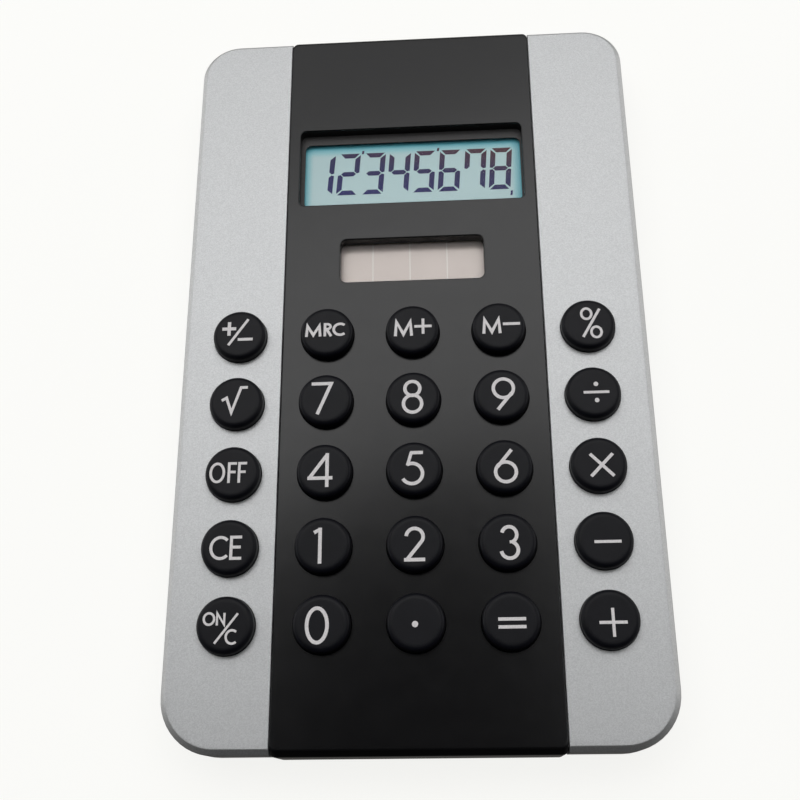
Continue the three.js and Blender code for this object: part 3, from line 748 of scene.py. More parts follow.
def foot_rubber():
    """Matt black rubber with a little dust on it."""
    dark, light = (0.3, (0.010, 0.010, 0.010)), (0.8, (0.032, 0.031, 0.029))
    relief = [(Noise(0.15, 3.0), 0.015)]
    return patterned("foot_rubber", Noise(1.4, 6.0), dark, light, (0.68, 0.88), relief=relief)


# ---- Cases and strip ----


def corner_places(node, count):
    """The plan centres of a numbered family of CAD nodes."""
    return [centre_mm(f"{node}_{i + 1}") for i in range(count)]


def key_places(inside):
    """Plan centres of the keys that come up through the strip, or through the silver beside it."""
    places = [centre_mm(key) for key in KEYS]
    return [place for place in places if (abs(place.x) < STRIP_HIGH.x) == inside]


def strip_slots(half_width):
    """Cutters for the two end slots that the strip's arms sit in."""
    inner = STRIP_HIGH.y - STRIP_ARM - FIT_GAP
    outer = inner + EDGE_OVERCUT
    spans = ((inner, outer), (-outer, -inner))
    return [block(-half_width, half_width, *span, -OVERCUT, FACE_Z + OVERCUT) for span in spans]


def boss(at, radius, low_z):
    """A screw boss that runs up into the face's skin."""
    return turned(at, [(radius, low_z), (radius, SKIN_UNDER_Z + OVERLAP)])


def front_shell():
    profile = rounded_profile(
        (WALL, SKIN_UNDER_Z),
        (WALL, PARTING_Z),
        (0, PARTING_Z, EDGE_ROUND),
        (0, FACE_Z - FACE_BEVEL, BEVEL_ROUND),
        (FACE_BEVEL, FACE_Z, FLAT_ROUND),
        (FACE_BEVEL + 1, FACE_Z),
    )
    shell = to_object("front_shell", body_loft(profile))
    half = STRIP_HIGH.x + FIT_GAP
    end = CASE_HALF.y + OVERCUT
    channel = [(half + grow, z) for grow, z in mouth(EDGE_ROUND, RECESS_Z)]
    cut(shell, bar_along_y(channel + [(-x, z) for x, z in reversed(channel)], -end, end))
    cut(shell, *strip_slots(half))
    case_screws = corner_places("case_screw", 4)
    board_screws = corner_places("board_screw", 4)
    join(
        shell,
        *[boss(at, CASE_BOSS_RADIUS, FLOOR_TOP_Z + FIT_GAP) for at in case_screws],
        *[boss(at, BOARD_BOSS_RADIUS, BOARD_BOSS_LOW_Z) for at in board_screws],
    )
    screw_hole = [(SCREW_HOLE_RADIUS, 0), (SCREW_HOLE_RADIUS, SCREW_HOLE_TOP_Z)]
    key_space = [(KEY_SPACE_RADIUS, CUT_LOW_Z), (KEY_SPACE_RADIUS, CUT_HIGH_Z)]
    skirts = [window_outline(window, STRIP_SKIRT + FIT_GAP) for window in WINDOWS]
    cut(
        shell,
        *[turned(at, screw_hole, 24) for at in case_screws + board_screws],
        *[key_hole(at) for at in key_places(inside=False)],
        *[turned(at, key_space) for at in key_places(inside=True)],
        *[prism(skirt, CUT_LOW_Z, CUT_HIGH_Z) for skirt in skirts],
    )
    smooth(shell)
    place(shell, silver_paint(), "silver_case", replaced=["front_case"])


def strip_ring(inset, z):
    """The strip's plan at one height: shorter by the inset, and rounded along its sides."""
    rise = max(0.0, z - (FACE_Z - STRIP_SIDE_ROUND))
    side = STRIP_SIDE_ROUND - math.sqrt(max(0.0, STRIP_SIDE_ROUND**2 - rise**2))
    width, length = 2 * (STRIP_HIGH.x - side), 2 * (STRIP_HIGH.y - inset)
    return at_height(rounded_rectangle(width, length, STRIP_CORNER, STRIP_CORNER, steps=8), z)


def centre_strip():
    profile = rounded_profile(
        (EDGE_ROUND, STRIP_LOW.z),
        (0, STRIP_LOW.z + EDGE_ROUND),
        (0, FACE_Z - FACE_BEVEL, BEVEL_ROUND),
        (FACE_BEVEL, FACE_Z, STRIP_TOP_ROUND),
        (FACE_BEVEL + 1, FACE_Z),
    )
    strip = to_object("centre_strip", loft([strip_ring(inset, z) for inset, z in profile]))
    side, inner = STRIP_HIGH.x + OVERCUT, STRIP_HIGH.y - STRIP_ARM
    cut(strip, block(-side, side, -inner, inner, 0, STRIP_UNDER_Z))
    for window in WINDOWS:
        skirt = window_outline(window, STRIP_SKIRT)
        join(strip, prism(skirt, SKIN_UNDER_Z, STRIP_UNDER_Z + OVERLAP))
    cut(
        strip,
        *[window_hole(window) for window in WINDOWS],
        *[key_hole(at) for at in key_places(inside=True)],
    )
    smooth(strip)
    place(strip, satin_black(), "black_fascia", replaced=["centre_fascia"])


def door_opening(grow, low_z, high_z):
    """Cutter for the door's way out, which runs past the shell's edge."""
    low, high = box_mm("battery_door")
    middle = centre_mm("button_cell").y
    half = DOOR_HALF_LENGTH + grow
    return block(low.x - grow, high.x + EDGE_OVERCUT, middle - half, middle + half, low_z, high_z)


def well(radius, top_z):
    """A profile for a well in the underside, with a flared mouth."""
    wide = radius + WELL_FLARE
    return [(wide, WELL_LOW_Z), (wide, BACK_Z), (radius, BACK_Z + WELL_FLARE), (radius, top_z)]


def rear_shell():
    profile = rounded_profile(
        (LIP_INSET + LIP_THICKNESS, FLOOR_TOP_Z),
        (LIP_INSET + LIP_THICKNESS, LIP_TOP_Z),
        (LIP_INSET, LIP_TOP_Z),
        (LIP_INSET, REAR_RIM_Z),
        (REAR_INSET, REAR_RIM_Z, EDGE_ROUND),
        (REAR_INSET, BACK_Z + BACK_BEVEL, BEVEL_ROUND),
        (REAR_INSET + BACK_BEVEL, BACK_Z, FLAT_ROUND),
        (REAR_INSET + BACK_BEVEL + 1, BACK_Z),
    )
    shell = to_object("rear_shell", body_loft(profile))
    cut(shell, *strip_slots(STRIP_HIGH.x + FIT_GAP))
    cell = centre_mm("button_cell")
    feet = corner_places("rubber_foot", 4)
    bay_wall = [(BAY_WALL_RADIUS, FLOOR_ROOT_Z), (BAY_WALL_RADIUS, BAY_ROOF_TOP_Z)]
    foot_boss = [(FOOT_BOSS_RADIUS, FLOOR_ROOT_Z), (FOOT_BOSS_RADIUS, FOOT_BOSS_TOP_Z)]
    join(shell, turned(cell, bay_wall, 64), *[turned(at, foot_boss) for at in feet])
    bay = [
        (BAY_RADIUS + BAY_FLARE, 0),
        (BAY_RADIUS + BAY_FLARE, DOOR_OPENING_TOP_Z),
        (BAY_RADIUS, DOOR_OPENING_TOP_Z + BAY_FLARE),
        (BAY_RADIUS, BAY_ROOF_UNDER_Z),
    ]
    screw_well = well(SCREW_WELL_RADIUS, SCREW_SEAT_Z) + [
        (SCREW_HOLE_RADIUS, SCREW_SEAT_Z),
        (SCREW_HOLE_RADIUS, FLOOR_TOP_Z),
        (BOSS_SPACE_RADIUS, FLOOR_TOP_Z),
        (BOSS_SPACE_RADIUS, FACE_Z),
    ]
    cut(
        shell,
        turned(cell, bay, 64),
        *[turned(at, screw_well) for at in corner_places("case_screw", 4)],
        *[turned(at, well(FOOT_WELL_RADIUS, FOOT_WELL_TOP_Z)) for at in feet],
    )
    groove = TONGUE_LOW_Z - DOOR_GAP, TONGUE_TOP_Z + DOOR_GAP
    cut(shell, door_opening(DOOR_GAP, -OVERCUT, DOOR_OPENING_TOP_Z))
    cut(shell, door_opening(DOOR_GAP + TONGUE_REACH, *groove))
    cut(shell, *[block(*slot) for slot in CONTACT_SLOTS])
    smooth(shell)
    place(shell, dark_plastic(), "dark_case", replaced=["rear_case"])


def sliding_door():
    low, high = box_mm("battery_door")
    middle = centre_mm("button_cell").y
    near, far = middle - DOOR_HALF_LENGTH, middle + DOOR_HALF_LENGTH
    top = BACK_Z + DOOR_THICKNESS
    section = rounded_profile(
        (low.x, BACK_Z),
        (high.x - BACK_BEVEL, BACK_Z, FLAT_ROUND),
        (high.x, BACK_Z + BACK_BEVEL),
        (high.x, top),
        (low.x, top),
    )
    door = to_object("sliding_door", bar_along_y(section, near, far))
    tongue = (low.x, high.x - TONGUE_SHORT, near - TONGUE_REACH, far + TONGUE_REACH)
    join(door, block(*tongue, TONGUE_LOW_Z, TONGUE_TOP_Z))
    soften(door, 0.1, sharp_degrees=60.0)
    first = high.x - FIRST_GROOVE_IN
    grooves = [door_groove(first + GROOVE_PITCH * i, middle) for i in range(GROOVES)]
    cut(door, *grooves, door_arrow(high.x - ARROW_IN, middle))
    smooth(door)
    place(door, dark_plastic(), "dark_case", DOOR, ["battery_door"])


def door_groove(x, y):
    """Cutter for one finger groove with rounded ends and flanks."""
    rings = []
    for depth, grow in ((-0.5, 0.1), (0.0, 0.1), (0.1, 0.02), (0.25, 0.0), (0.3, -0.08)):
        width, length = GROOVE_WIDTH + 2 * grow, GROOVE_LENGTH + 2 * grow
        outline = rounded_rectangle(width, length, 0.2 + grow, 0.2 + grow, (x, y), 5)
        rings.append(at_height(outline, BACK_Z + depth))
    return loft(rings)


def door_arrow(x, y):
    """Cutter for the sunk triangle that shows which way the door slides."""
    corners = ((-1.6, -1.7), (1.4, 0), (-1.6, 1.7))
    rings = []
    for depth, size in ((-0.5, 1.0), (0.0, 1.0), (0.35, 0.8)):
        outline = [(x + a * size, y + b * size) for a, b in corners]
        rings.append(at_height(outline, BACK_Z + depth))
    return loft(rings)


# ---- Keys and their legends ----


def key_profile(top):
    return rounded_profile(
        (KEY_STEM_RADIUS, KEY_STEM_LOW_Z),
        (KEY_STEM_RADIUS, KEY_FLANGE_LOW_Z),
        (KEY_FLANGE_RADIUS, KEY_FLANGE_LOW_Z, KEY_FLANGE_ROUND),
        (KEY_FLANGE_RADIUS, KEY_FLANGE_TOP_Z, KEY_FLANGE_ROUND),
        (KEY_RADIUS, KEY_FLANGE_TOP_Z),
        (KEY_RADIUS, top, KEY_TOP_ROUND),
        (KEY_RADIUS - 1, top),
    )


def key_cap(name, rubber):
    profile = key_profile(box_mm(name)[1].z - INK_PROUD)
    cap = to_object(name.replace("key", "cap", 1), turned(centre_mm(name), profile, KEY_SIDES))
    smooth(cap)
    place(cap, rubber, "key_rubber", name, [name])


# The stroke width of the number keys' figures
DIGIT = 0.5


def ribbon(points, width, closed=False):
    """Quads along a line of the given width, mitred at its corners."""
    line = [Vector(point) for point in points]
    count = len(line)
    sides = []
    for i, here in enumerate(line):
        before = line[i - 1] if i or closed else None
        after = line[(i + 1) % count] if i < count - 1 or closed else None
        arriving = (here - before).normalized() if before else (after - here).normalized()
        leaving = (after - here).normalized() if after else arriving
        along = (arriving + leaving).normalized()
        reach = width / 2 / max(along.dot(arriving), 0.35)
        across = Vector((-along.y, along.x)) * reach
        sides.append((here + across, here - across))
    pairs = list(zip(sides, sides[1:])) + ([(sides[-1], sides[0])] if closed else [])
    return [[a[1], b[1], b[0], a[0]] for a, b in pairs]


def ring(x, y, radius_x, radius_y, width=DIGIT, steps=40):
    return ribbon(arc(x, y, radius_x, radius_y, 0, 360, steps)[:-1], width, closed=True)


def bow(x, y, radius_x, radius_y, width, start, end, steps=24):
    return ribbon(arc(x, y, radius_x, radius_y, start, end, steps), width)


def dot(x, y, radius):
    return [circle(x, y, radius, 24)]


def stroke(x0, y0, x1, y1, width=DIGIT):
    return ribbon([(x0, y0), (x1, y1)], width)


def bar(x, y, length, width):
    return stroke(x - length / 2, y, x + length / 2, y, width)


def plus(x, y, half_x, half_y, width):
    return bar(x, y, 2 * half_x, width) + stroke(x, y - half_y, x, y + half_y, width)


def letter_m(left, right, half_height, width):
    """A pointed M between two outer edges."""
    foot = width / 2
    middle = (left + right) / 2
    lean = (right - left) * 0.06
    return ribbon([
        (left + foot, -half_height),
        (left + foot + lean, half_height - width),
        (middle, -half_height + width * 0.6),
        (right - foot - lean, half_height - width),
        (right - foot, -half_height),
    ], width)


def letter_e_or_f(stem, half_height, width, top_reach, middle_reach, bottom_reach=None):
    edge = half_height - width / 2
    strokes = stroke(stem, -half_height, stem, half_height, width)
    for reach, y in ((top_reach, edge), (middle_reach, width * 0.2), (bottom_reach, -edge)):
        if reach:
            strokes += stroke(stem, y, reach, y, width)
    return strokes


def memory_m():
    return letter_m(-2.68, 0.2, 1.38, 0.46)


LEGENDS = {
    "key_0": ring(0, 0, 1.4, 2.32),
    "key_1": stroke(0.2, -2.55, 0.2, 2.55) + stroke(-0.65, 1.85, 0.2, 2.32),
    "key_2": (
        bow(0.08, 1.03, 1.18, 1.18, DIGIT, 175, -35)
        + stroke(1.04, 0.36, -1.0, -2.16)
        + stroke(-1.42, -2.2, 1.5, -2.2)
    ),
    "key_3": (
        bow(0, 1.1, 1.03, 1.12, DIGIT, 165, -62)
        + stroke(0.02, 0.06, 0.55, 0.1, 0.42)
        + bow(0, -1.05, 1.16, 1.17, DIGIT, 68, -172)
    ),
    "key_4": (
        stroke(-1.8, -1.2, 1.8, -1.2)
        + stroke(1.0, 2.5, 1.0, -2.55)
        + stroke(0.98, 2.25, -1.55, -1.2)
    ),
    "key_5": (
        stroke(-0.39, 2.3, 1.41, 2.3)
        + stroke(-0.24, 2.4, -0.84, 0.4, 0.46)
        + bow(-0.19, -0.8, 1.5, 1.5, DIGIT, 118, -150)
    ),
    "key_6": stroke(0.83, 2.45, -1.25, -0.1) + ring(-0.07, -0.84, 1.46, 1.46),
    "key_7": ribbon([(-1.5, 2.275), (1.4, 2.275), (-0.6, -2.5)], DIGIT),
    "key_8": ring(0, 1.17, 1.1, 1.1) + ring(0, -1.2, 1.33, 1.33),
    "key_9": ring(0.07, 0.84, 1.46, 1.46) + stroke(1.25, 0.1, -0.83, -2.45),
    "key_point": dot(0, 0, 0.43),
    "key_equals": bar(-0.1, 0.525, 3.75, 0.45) + bar(-0.1, -0.525, 3.75, 0.45),
    "key_add": plus(-0.08, 0, 1.87, 1.92, 0.41),
    "key_subtract": bar(0, 0, 3.7, 0.4),
    "key_multiply": (
        stroke(-1.6, -1.65, 1.6, 1.65, 0.46) + stroke(-1.6, 1.65, 1.6, -1.65, 0.46)
    ),
    "key_divide": bar(0, 0, 3.7, 0.4) + dot(0, 1.25, 0.34) + dot(0, -1.25, 0.34),
    "key_percent": (
        ring(-0.63, 1.5, 0.74, 0.85, 0.38)
        + ring(0.68, -1.5, 0.74, 0.85, 0.38)
        + stroke(1.35, 2.25, -1.3, -2.25, 0.4)
    ),
    "key_root": ribbon([(-1.7, 0.1), (-1.0, 0.5), (-0.2, -1.8), (1.1, 2.1), (2.1, 2.1)], 0.42),
    "key_off": (
        ring(-1.77, 0, 0.96, 1.36, 0.38)
        + letter_e_or_f(-0.07, 1.55, 0.38, 1.05, 0.9)
        + letter_e_or_f(1.41, 1.55, 0.38, 2.52, 2.35)
    ),
    "key_clear_entry": (
        bow(-0.72, 0, 1.36, 1.51, 0.42, 45, 315)
        + letter_e_or_f(0.8, 1.72, 0.42, 2.29, 2.15, 2.29)
    ),
    "key_on_clear": (
        ring(-1.78, 1.14, 0.72, 0.78, 0.32)
        + ribbon([(-0.65, 0.25), (-0.65, 1.9), (0.35, 0.35), (0.35, 1.95)], 0.32)
        + stroke(2.2, 1.85, -0.9, -2.2, 0.32)
        + bow(1.5, -1.33, 0.84, 0.9, 0.32, 48, 312)
    ),
    "key_sign": (
        plus(-1.17, 0.69, 1.05, 1.12, 0.5)
        + stroke(1.70, 2.2, -1.20, -2.0, 0.40)
        + bar(1.35, -1.1, 2.27, 0.44)
    ),
    "key_memory_recall": (
        letter_m(-2.7, -0.2, 1.09, 0.42)
        + stroke(0.3, -1.09, 0.3, 1.09, 0.4)
        + bow(0.6, 0.5, 0.54, 0.41, 0.38, 90, -90)
        + stroke(0.3, 0.91, 0.6, 0.91, 0.38)
        + stroke(0.3, 0.09, 0.6, 0.09, 0.38)
        + stroke(0.55, 0.09, 1.24, -1.09, 0.4)
        + bow(2.6, 0, 0.98, 0.9, 0.4, 48, 312)
    ),
    "key_memory_plus": memory_m() + plus(1.7, 0.13, 1.3, 1.25, 0.42),
    "key_memory_minus": memory_m() + bar(1.7, 0.13, 2.55, 0.44),
}

# The print's own grid is a little wider and longer than the keys', so legends drift off centre.
PRINT_SHIFTS_X = (-0.35, -0.52, -0.08, 0.19, 0.37)
PRINT_SHIFTS_Y = (0.24, 0.10, -0.04, -0.18, -0.32)
PRINT_TILT = 0.05
SILVER_COLUMN_DROP = 0.1


def flat_print(name, polygons, at, top, thickness):
    """A thin raised print: the union of flat polygons about a point, up to the given height."""
    corners = []
    faces = []
    for polygon in polygons:
        points = [Vector(corner) for corner in polygon]
        indices = [len(corners) + i for i in range(len(points))]
        area = sum(points[i - 1].cross(points[i]) for i in range(len(points)))
        faces.append(indices if area > 0 else indices[::-1])
        corners += points
    flat, _, triangles, _, _, sources = delaunay_2d_cdt(corners, [], faces, 0, 1e-5)
    kept = [triangle for triangle, source in zip(triangles, sources) if source]
    mesh = bmesh.new()
    lower, upper = [
        [mesh.verts.new(Vector((at.x + p.x, at.y + p.y, z)) * MM) for p in flat]
        for z in (top - thickness, top)
    ]
    for triangle in kept:
        mesh.faces.new([upper[i] for i in triangle])
        mesh.faces.new([lower[i] for i in reversed(triangle)])
    edges = dict.fromkeys((face[i], face[(i + 1) % 3]) for face in kept for i in range(3))
    for a, b in edges:
        if (b, a) not in edges:
            mesh.faces.new((lower[a], lower[b], upper[b], upper[a]))
    loose = [vert for vert in mesh.verts if not vert.link_faces]
    bmesh.ops.delete(mesh, geom=loose, context="VERTS")
    bmesh.ops.recalc_face_normals(mesh, faces=mesh.faces[:])
    return to_object(name, mesh)


def print_shift(name):
    """How far a key's legend lies off the key's centre."""
    columns = sorted({round(centre_mm(key).x, 1) for key in KEYS})
    rows = sorted({round(centre_mm(key).y, 1) for key in KEYS}, reverse=True)
    at = centre_mm(name)
    column = columns.index(round(at.x, 1))
    row = rows.index(round(at.y, 1))
    drop = SILVER_COLUMN_DROP if column in (0, 4) else 0.0
    drop += PRINT_TILT * (column - 2)
    return Vector((PRINT_SHIFTS_X[column], PRINT_SHIFTS_Y[row] - drop, 0.0))


def key_legend(name, ink):
    at = centre_mm(name) + print_shift(name)
    top = box_mm(name)[1].z
    legend = flat_print(name.replace("key", "legend", 1), LEGENDS[name], at, top, 2 * INK_PROUD)
    place(legend, ink, "key_rubber", name)


# ---- Display ----

FIGURE_HALF_STROKE = 0.42
FIGURE_WIDTH = 2.65
FIGURE_TOP_Y = 36.2
FIGURE_MIDDLE_Y = 32.75
FIGURE_BOTTOM_Y = 29.25
FIGURE_GAP = 0.1
FIGURE_SLANT = 0.0743
FIGURE_PITCH = 4.13
FIRST_FIGURE_X = -12.87
READOUT_THICKNESS = 0.03
# The marks after the second and fifth figures and the decimal point, each as x, low y and high y
UPPER_MARKS = ((-8.17, 36.5, 37.1), (4.18, 36.5, 37.1))
DECIMAL_POINT = (15.85, 27.65, 28.5)
MARK_WIDTH = 0.35
MARK_LEAN = 0.1
LIT_SEGMENTS = {
    "1": "bc",
    "2": "abged",
    "3": "abgcd",
    "4": "fgbc",
    "5": "afgcd",
    "6": "afgcde",
    "7": "fabc",
    "8": "abcdefg",
}


def segment_shapes():
    """The seven segments of a figure, upright, with the left column's middle line at x = 0."""
    half, gap, wide = FIGURE_HALF_STROKE, FIGURE_GAP, FIGURE_WIDTH
    top, middle, bottom = FIGURE_TOP_Y, FIGURE_MIDDLE_Y, FIGURE_BOTTOM_Y
    outer = -half + 2 * gap
    inner = half + gap
    upper_column = [
        (-half, top + half - 3 * gap),
        (-half, middle + 2.5 * gap),
        (0, middle + gap),
        (half, middle + half + gap),
        (half, top - half - 2 * gap),
    ]
    lower_column = [(x, 2 * middle - y) for x, y in upper_column]
    longer = bottom + top - 2 * middle
    lower_column = [(x, y + longer * (y < middle - 1)) for x, y in lower_column]

    def end_segment(y, outwards):
        edge, inside = y + half * outwards, y - half * outwards
        return [(outer, edge), (wide - outer, edge), (wide - inner, inside), (inner, inside)]

    return {
        "a": end_segment(top, 1),
        "d": end_segment(bottom, -1),
        "g": [
            (gap, middle),
            (inner, middle + half),
            (wide - inner, middle + half),
            (wide - gap, middle),
            (wide - inner, middle - half),
            (inner, middle - half),
        ],
        "f": upper_column,
        "b": [(wide - x, y) for x, y in upper_column],
        "e": lower_column,
        "c": [(wide - x, y) for x, y in lower_column],
    }


def display_readout():
    """The lit figures 1 to 8, the marks after the second and fifth, and the decimal point."""
    shapes = segment_shapes()
    polygons = []
    for index, figure in enumerate(sorted(LIT_SEGMENTS)):
        left = FIRST_FIGURE_X + FIGURE_PITCH * index - FIGURE_WIDTH
        for segment in LIT_SEGMENTS[figure]:
            polygons.append([
                (left + x - (FIGURE_TOP_Y - y) * FIGURE_SLANT, y) for x, y in shapes[segment]
            ])
    for x, low_y, high_y in (*UPPER_MARKS, DECIMAL_POINT):
        right = x + MARK_WIDTH
        slant = [(x, low_y), (right, low_y), (right + MARK_LEAN, high_y), (x + MARK_LEAN, high_y)]
        polygons.append(slant)
    top = box_mm("display_polariser")[1].z + INK_PROUD
    readout = flat_print("display_readout", polygons, Vector((0, 0, 0)), top, READOUT_THICKNESS)
    place(readout, display_figures(), "display_film")


def display_bezel():
    low, high = box_mm("display_mask")
    plate = to_object("display_bezel", block(low.x, high.x, low.y, high.y, low.z, high.z))
    cut(plate, prism(window_outline(MASK_APERTURE, 0), low.z - OVERCUT, high.z + OVERCUT))
    soften(plate, 0.04, segments=2)
    smooth(plate)
    place(plate, mask_black(), "display_mask", replaced=["display_mask"])


# ---- Solar cell ----


def solar_fields():
    """Four fields of silicon on the cell, with light lines left between them."""
    low, high = box_mm("solar_cell")
    middle_line, pitch, line, border = -0.41, 5.84, 0.16, 0.4
    lines = [middle_line - pitch, middle_line, middle_line + pitch]
    edges = [low.x + border, *lines, high.x - border]
    length, middle_y = high.y - low.y - 2 * border, (low.y + high.y) / 2
    meshes = []
    for left, right in zip(edges, edges[1:]):
        centre = ((left + right) / 2, middle_y)
        outline = rounded_rectangle(right - left - line, length, 0.1, 0.1, centre, 4)
        meshes.append(prism(outline, high.z - 0.02, high.z + 0.03))
    fields = merged("solar_fields", meshes)
    place(fields, solar_field(), "solar_glass")


# ---- Cell, screws and feet ----


def coin_cell(steel):
    """The cell, with its can downwards, its cap on top and a sunk plus mark in the can."""
    low, high = box_mm("button_cell")
    at = (low + high) / 2
    shoulder_z = high.z - 0.4
    profile = rounded_profile(
        (CELL_RADIUS - 1, low.z),
        (CELL_RADIUS, low.z, 0.3),
        (CELL_RADIUS, shoulder_z, 0.25),
        (CELL_RADIUS - 0.75, shoulder_z),
        (CELL_RADIUS - 0.85, shoulder_z - 0.06),
        (CELL_RADIUS - 0.95, high.z, 0.15),
        (CELL_RADIUS - 2, high.z),
    )
    cell = to_object("coin_cell", turned(at, profile, 72))
    reach, half, depth = 1.9, 0.28, 0.16
    for x, y in ((reach, half), (half, reach)):
        cut(cell, block(at.x - x, at.x + x, at.y - y, at.y + y, low.z - OVERCUT, low.z + depth))
    smooth(cell)
    place(cell, steel, "cell_steel", replaced=["button_cell"])


def case_screw(index, steel):
    """A screw with a domed head, a cross recess and a plain pointed shank."""
    name = f"case_screw_{index}"
    low, high = box_mm(name)
    at = (low + high) / 2
    head, shank = 1.8, 1.0
    under_head_z = low.z + 0.6
    profile = rounded_profile(
        (head - 0.6, low.z),
        (head, low.z, 0.25),
        (head, under_head_z),
        (shank, under_head_z),
        (shank, high.z - 0.8),
        (0.35, high.z),
    )
    screw = to_object(f"screw_{index}", turned(at, profile))
    turn = Matrix.Translation(at * MM) @ Matrix.Rotation(math.radians(17 + 41 * index), 4, "Z")
    for x, y in ((1.15, 0.2), (0.2, 1.15)):
        wide = [(-x, -y), (x, -y), (x, y), (-x, y)]
        narrow = [(a * 0.6, b * 0.6) for a, b in wide]
        tool = loft([at_height(wide, low.z - at.z - 0.2), at_height(narrow, low.z - at.z + 0.4)])
        tool.transform(turn)
        cut(screw, tool)
    smooth(screw)
    place(screw, steel, "screw_steel", replaced=[name])


def foot(index, rubber):
    name = f"rubber_foot_{index}"
    low, high = box_mm(name)
    at = (low + high) / 2
    radius = high.x - at.x
    profile = rounded_profile(
        (radius - 1.6, low.z),
        (radius - 0.35, low.z, 0.4),
        (radius, low.z + 0.9, 0.3),
        (radius, high.z),
    )
    pad = to_object(f"foot_{index}", turned(at, profile))
    smooth(pad)
    place(pad, rubber, "foot_rubber", replaced=[name])


# ---- Everything together ----


def build_object():
    front_shell()
    centre_strip()
    rear_shell()
    sliding_door()
    rubber = key_rubber()
    ink = white_ink()
    for name in KEYS:
        key_cap(name, rubber)
        key_legend(name, ink)
    display_bezel()
    display_readout()
    solar_fields()
    coin_cell(brushed_steel("cell_can", 0.62, 0.18, 0.34))
    screw_steel = brushed_steel("screw_plating", 0.45, 0.25, 0.4)
    foot_pad = foot_rubber()
    for index in range(1, 5):
        case_screw(index, screw_steel)
        foot(index, foot_pad)
        repaint(f"board_screw_{index}", screw_steel)
    contact_steel = brushed_steel("contact_plating", 0.6, 0.2, 0.35)
    clear = clear_plastic()
    glass = display_glass()
    soft = silicone()
    carried_over = {
        "display_lens": clear,
        "solar_window": clear,
        "display_polariser": display_film(),
        "display_front_glass": glass,
        "display_rear_glass": glass,
        "display_reflector": reflector_foil(),
        "display_connector_strip": soft,
        "keypad_dome_sheet": soft,
        "display_frame": dark_plastic(),
        "solar_cell": solar_ground(),
        "solar_lead_red": lead_sheath("red_sheath", (0.32, 0.012, 0.012)),
        "solar_lead_black": lead_sheath("black_sheath", (0.008, 0.008, 0.008)),
        "circuit_board": board_laminate(),
        "processor_chip": epoxy(),
        "battery_contact_negative": contact_steel,
        "battery_contact_positive": contact_steel,
    }
    for node, material in carried_over.items():
        repaint(node, material)


# ---- Floor, light and camera ----


def floor():
    """A plain pale floor: luminous to the eye, dim in reflections, not seen from below."""
    half = 3.0
    mesh = bmesh.new()
    corners = [(-half, -half, 0), (half, -half, 0), (half, half, 0), (-half, half, 0)]
    mesh.faces.new([mesh.verts.new(corner) for corner in corners])
    ground = to_object("floor", mesh)
    emission = {"Emission_Color": (1.0, 1.0, 0.975, 1.0), "Emission_Strength": 0.855}
    surface = Surface("floor_white", (0.12, 0.12, 0.118), 0.9, **emission)
    sideways = surface.maths("ABSOLUTE", surface.along_axis("X"), 0.0)
    sides = surface.span(sideways, 0.2, 0.8, 0.035, 0.12)
    front = surface.span(surface.along_axis("Y"), 0.15, 1.0, -0.08, -0.035)
    strength = surface.maths("MULTIPLY", sides, front)
    sources = (("Color", (1.0, 0.97, 0.92, 1.0)), ("Strength", strength))
    glow = surface.add("ShaderNodeEmission", sources)["Emission"]
    above = surface.mixed(
        surface.add("ShaderNodeLightPath")["Is Camera Ray"], glow, surface.shader.outputs["BSDF"]
    )
    from_below = surface.add("ShaderNodeNewGeometry")["Backfacing"]
    clear = surface.add("ShaderNodeBsdfTransparent")["BSDF"]
    shown = surface.mixed(from_below, above, clear)
    surface.feed(surface.tree.nodes["Material Output"], "Surface", shown)
    ground.data.materials.append(surface.material)
    ground.visible_shadow = False


def direction(azimuth, elevation):
    """A unit vector. Azimuth 0 is +Y and 90 is +X."""
    turn, rise = math.radians(azimuth), math.radians(elevation)
    across = math.cos(rise)
    return Vector((math.sin(turn) * across, math.cos(turn) * across, math.sin(rise)))


def panel(name, azimuth, elevation, distance, width, height, radiance, glossy=True):
    """A soft rectangular light that faces the object."""
    towards = direction(azimuth, elevation)
    data = bpy.data.lights.new(name, "AREA")
    data.shape = "RECTANGLE"
    data.size = width
    data.size_y = height
    data.energy = radiance * width * height * math.pi
    light = added(name, data)
    light.location = towards * distance
    light.rotation_euler = towards.to_track_quat("Z", "Y").to_euler()
    light.visible_camera = False
    light.visible_glossy = glossy


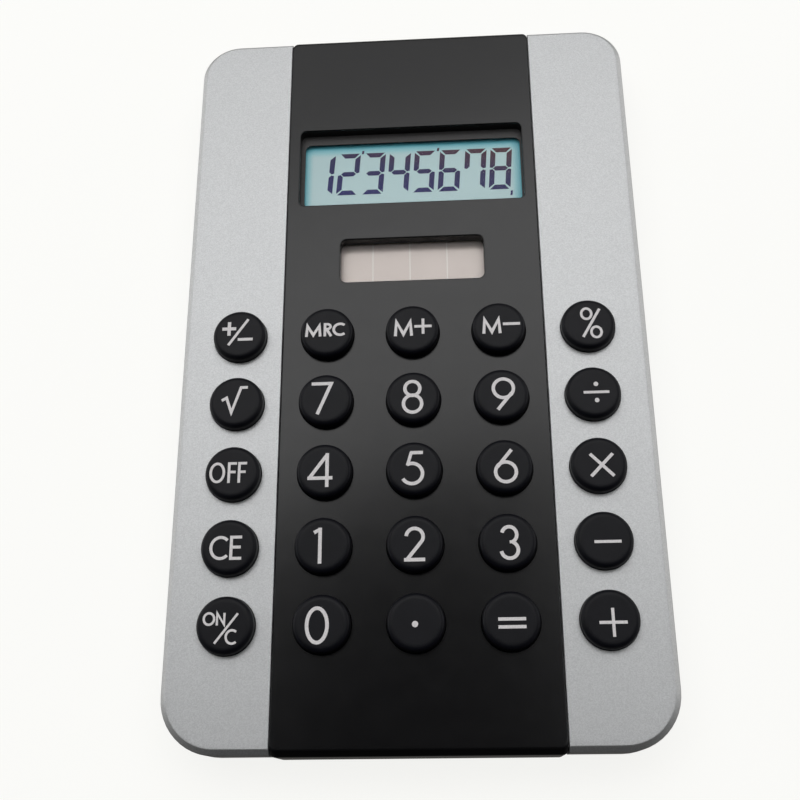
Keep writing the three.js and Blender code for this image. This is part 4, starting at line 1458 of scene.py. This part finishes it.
def surroundings():
    """Dim studio walls: darker overhead and towards -Y, pale where seen past the floor."""
    world = bpy.data.worlds.new("studio")
    world.use_nodes = True
    walls = Nodes(world.node_tree, "Generated")
    levels = ((0.0, 0.26), (0.25, 0.19), (0.7, 0.10), (1.0, 0.02))
    stops = [(height, (level, level, level * 1.02)) for height, level in levels]
    colour = walls.ramp(walls.along_axis("Z"), *stops)
    shade = walls.span(walls.along_axis("Y"), 0.04, 1.0, -0.9, 0.2)
    sources = ((0, colour), ("Scale", shade))
    dim = world.node_tree.nodes["Background"]
    dimmed = walls.add("ShaderNodeVectorMath", sources, operation="SCALE")["Vector"]
    walls.feed(dim, "Color", dimmed)
    pale = walls.add("ShaderNodeBackground", [("Color", (0.94, 0.95, 0.92, 1.0))])["Background"]
    seen = walls.add("ShaderNodeLightPath")["Is Camera Ray"]
    shown = walls.mixed(seen, dim.outputs["Background"], pale)
    walls.feed(world.node_tree.nodes["World Output"], "Surface", shown)
    bpy.context.scene.world = world


def camera():
    """The main view: from above and in front, a little to the right, and slightly rolled."""
    target = Vector((-0.0020, -0.00797, 0.0092))
    distance = 0.15788
    back = direction(180 - 8.93, 68.92)
    roll = math.radians(-9.96)
    data = bpy.data.cameras.new("camera")
    data.sensor_width = 36.0
    data.lens = 48.15
    data.clip_start = 0.005
    eye = added("camera", data)
    eye.location = target + back * distance
    level = back.to_track_quat("Z", "Y").to_matrix()
    eye.rotation_euler = (level @ Matrix.Rotation(roll, 3, "Z")).to_euler()
    bpy.context.scene.camera = eye


def studio():
    floor()
    surroundings()
    panel("window_low", -12, 49, 1.5, 1.7, 0.47, 0.8)
    panel("window_high", -14, 65, 1.5, 1.6, 0.44, 1.9)
    panel("high_right", 66, 66, 1.2, 0.6, 0.6, 0.95)
    panel("high_left", -70, 64, 1.2, 0.6, 0.6, 0.3)
    panel("top_fill", 0, 72, 1.0, 1.6, 1.6, 1.05, glossy=False)
    panel("right_fill", 72, 11, 0.8, 0.8, 0.3, 1.2)
    panel("left_fill", -72, 11, 0.8, 0.8, 0.3, 1.5)
    panel("under_left", -50, -48, 0.6, 0.3, 0.3, 9.0)
    panel("under_right", 30, -70, 0.6, 0.4, 0.4, 4.0)
    bpy.context.scene.view_settings.view_transform = "Standard"


build_object()
studio()
camera()
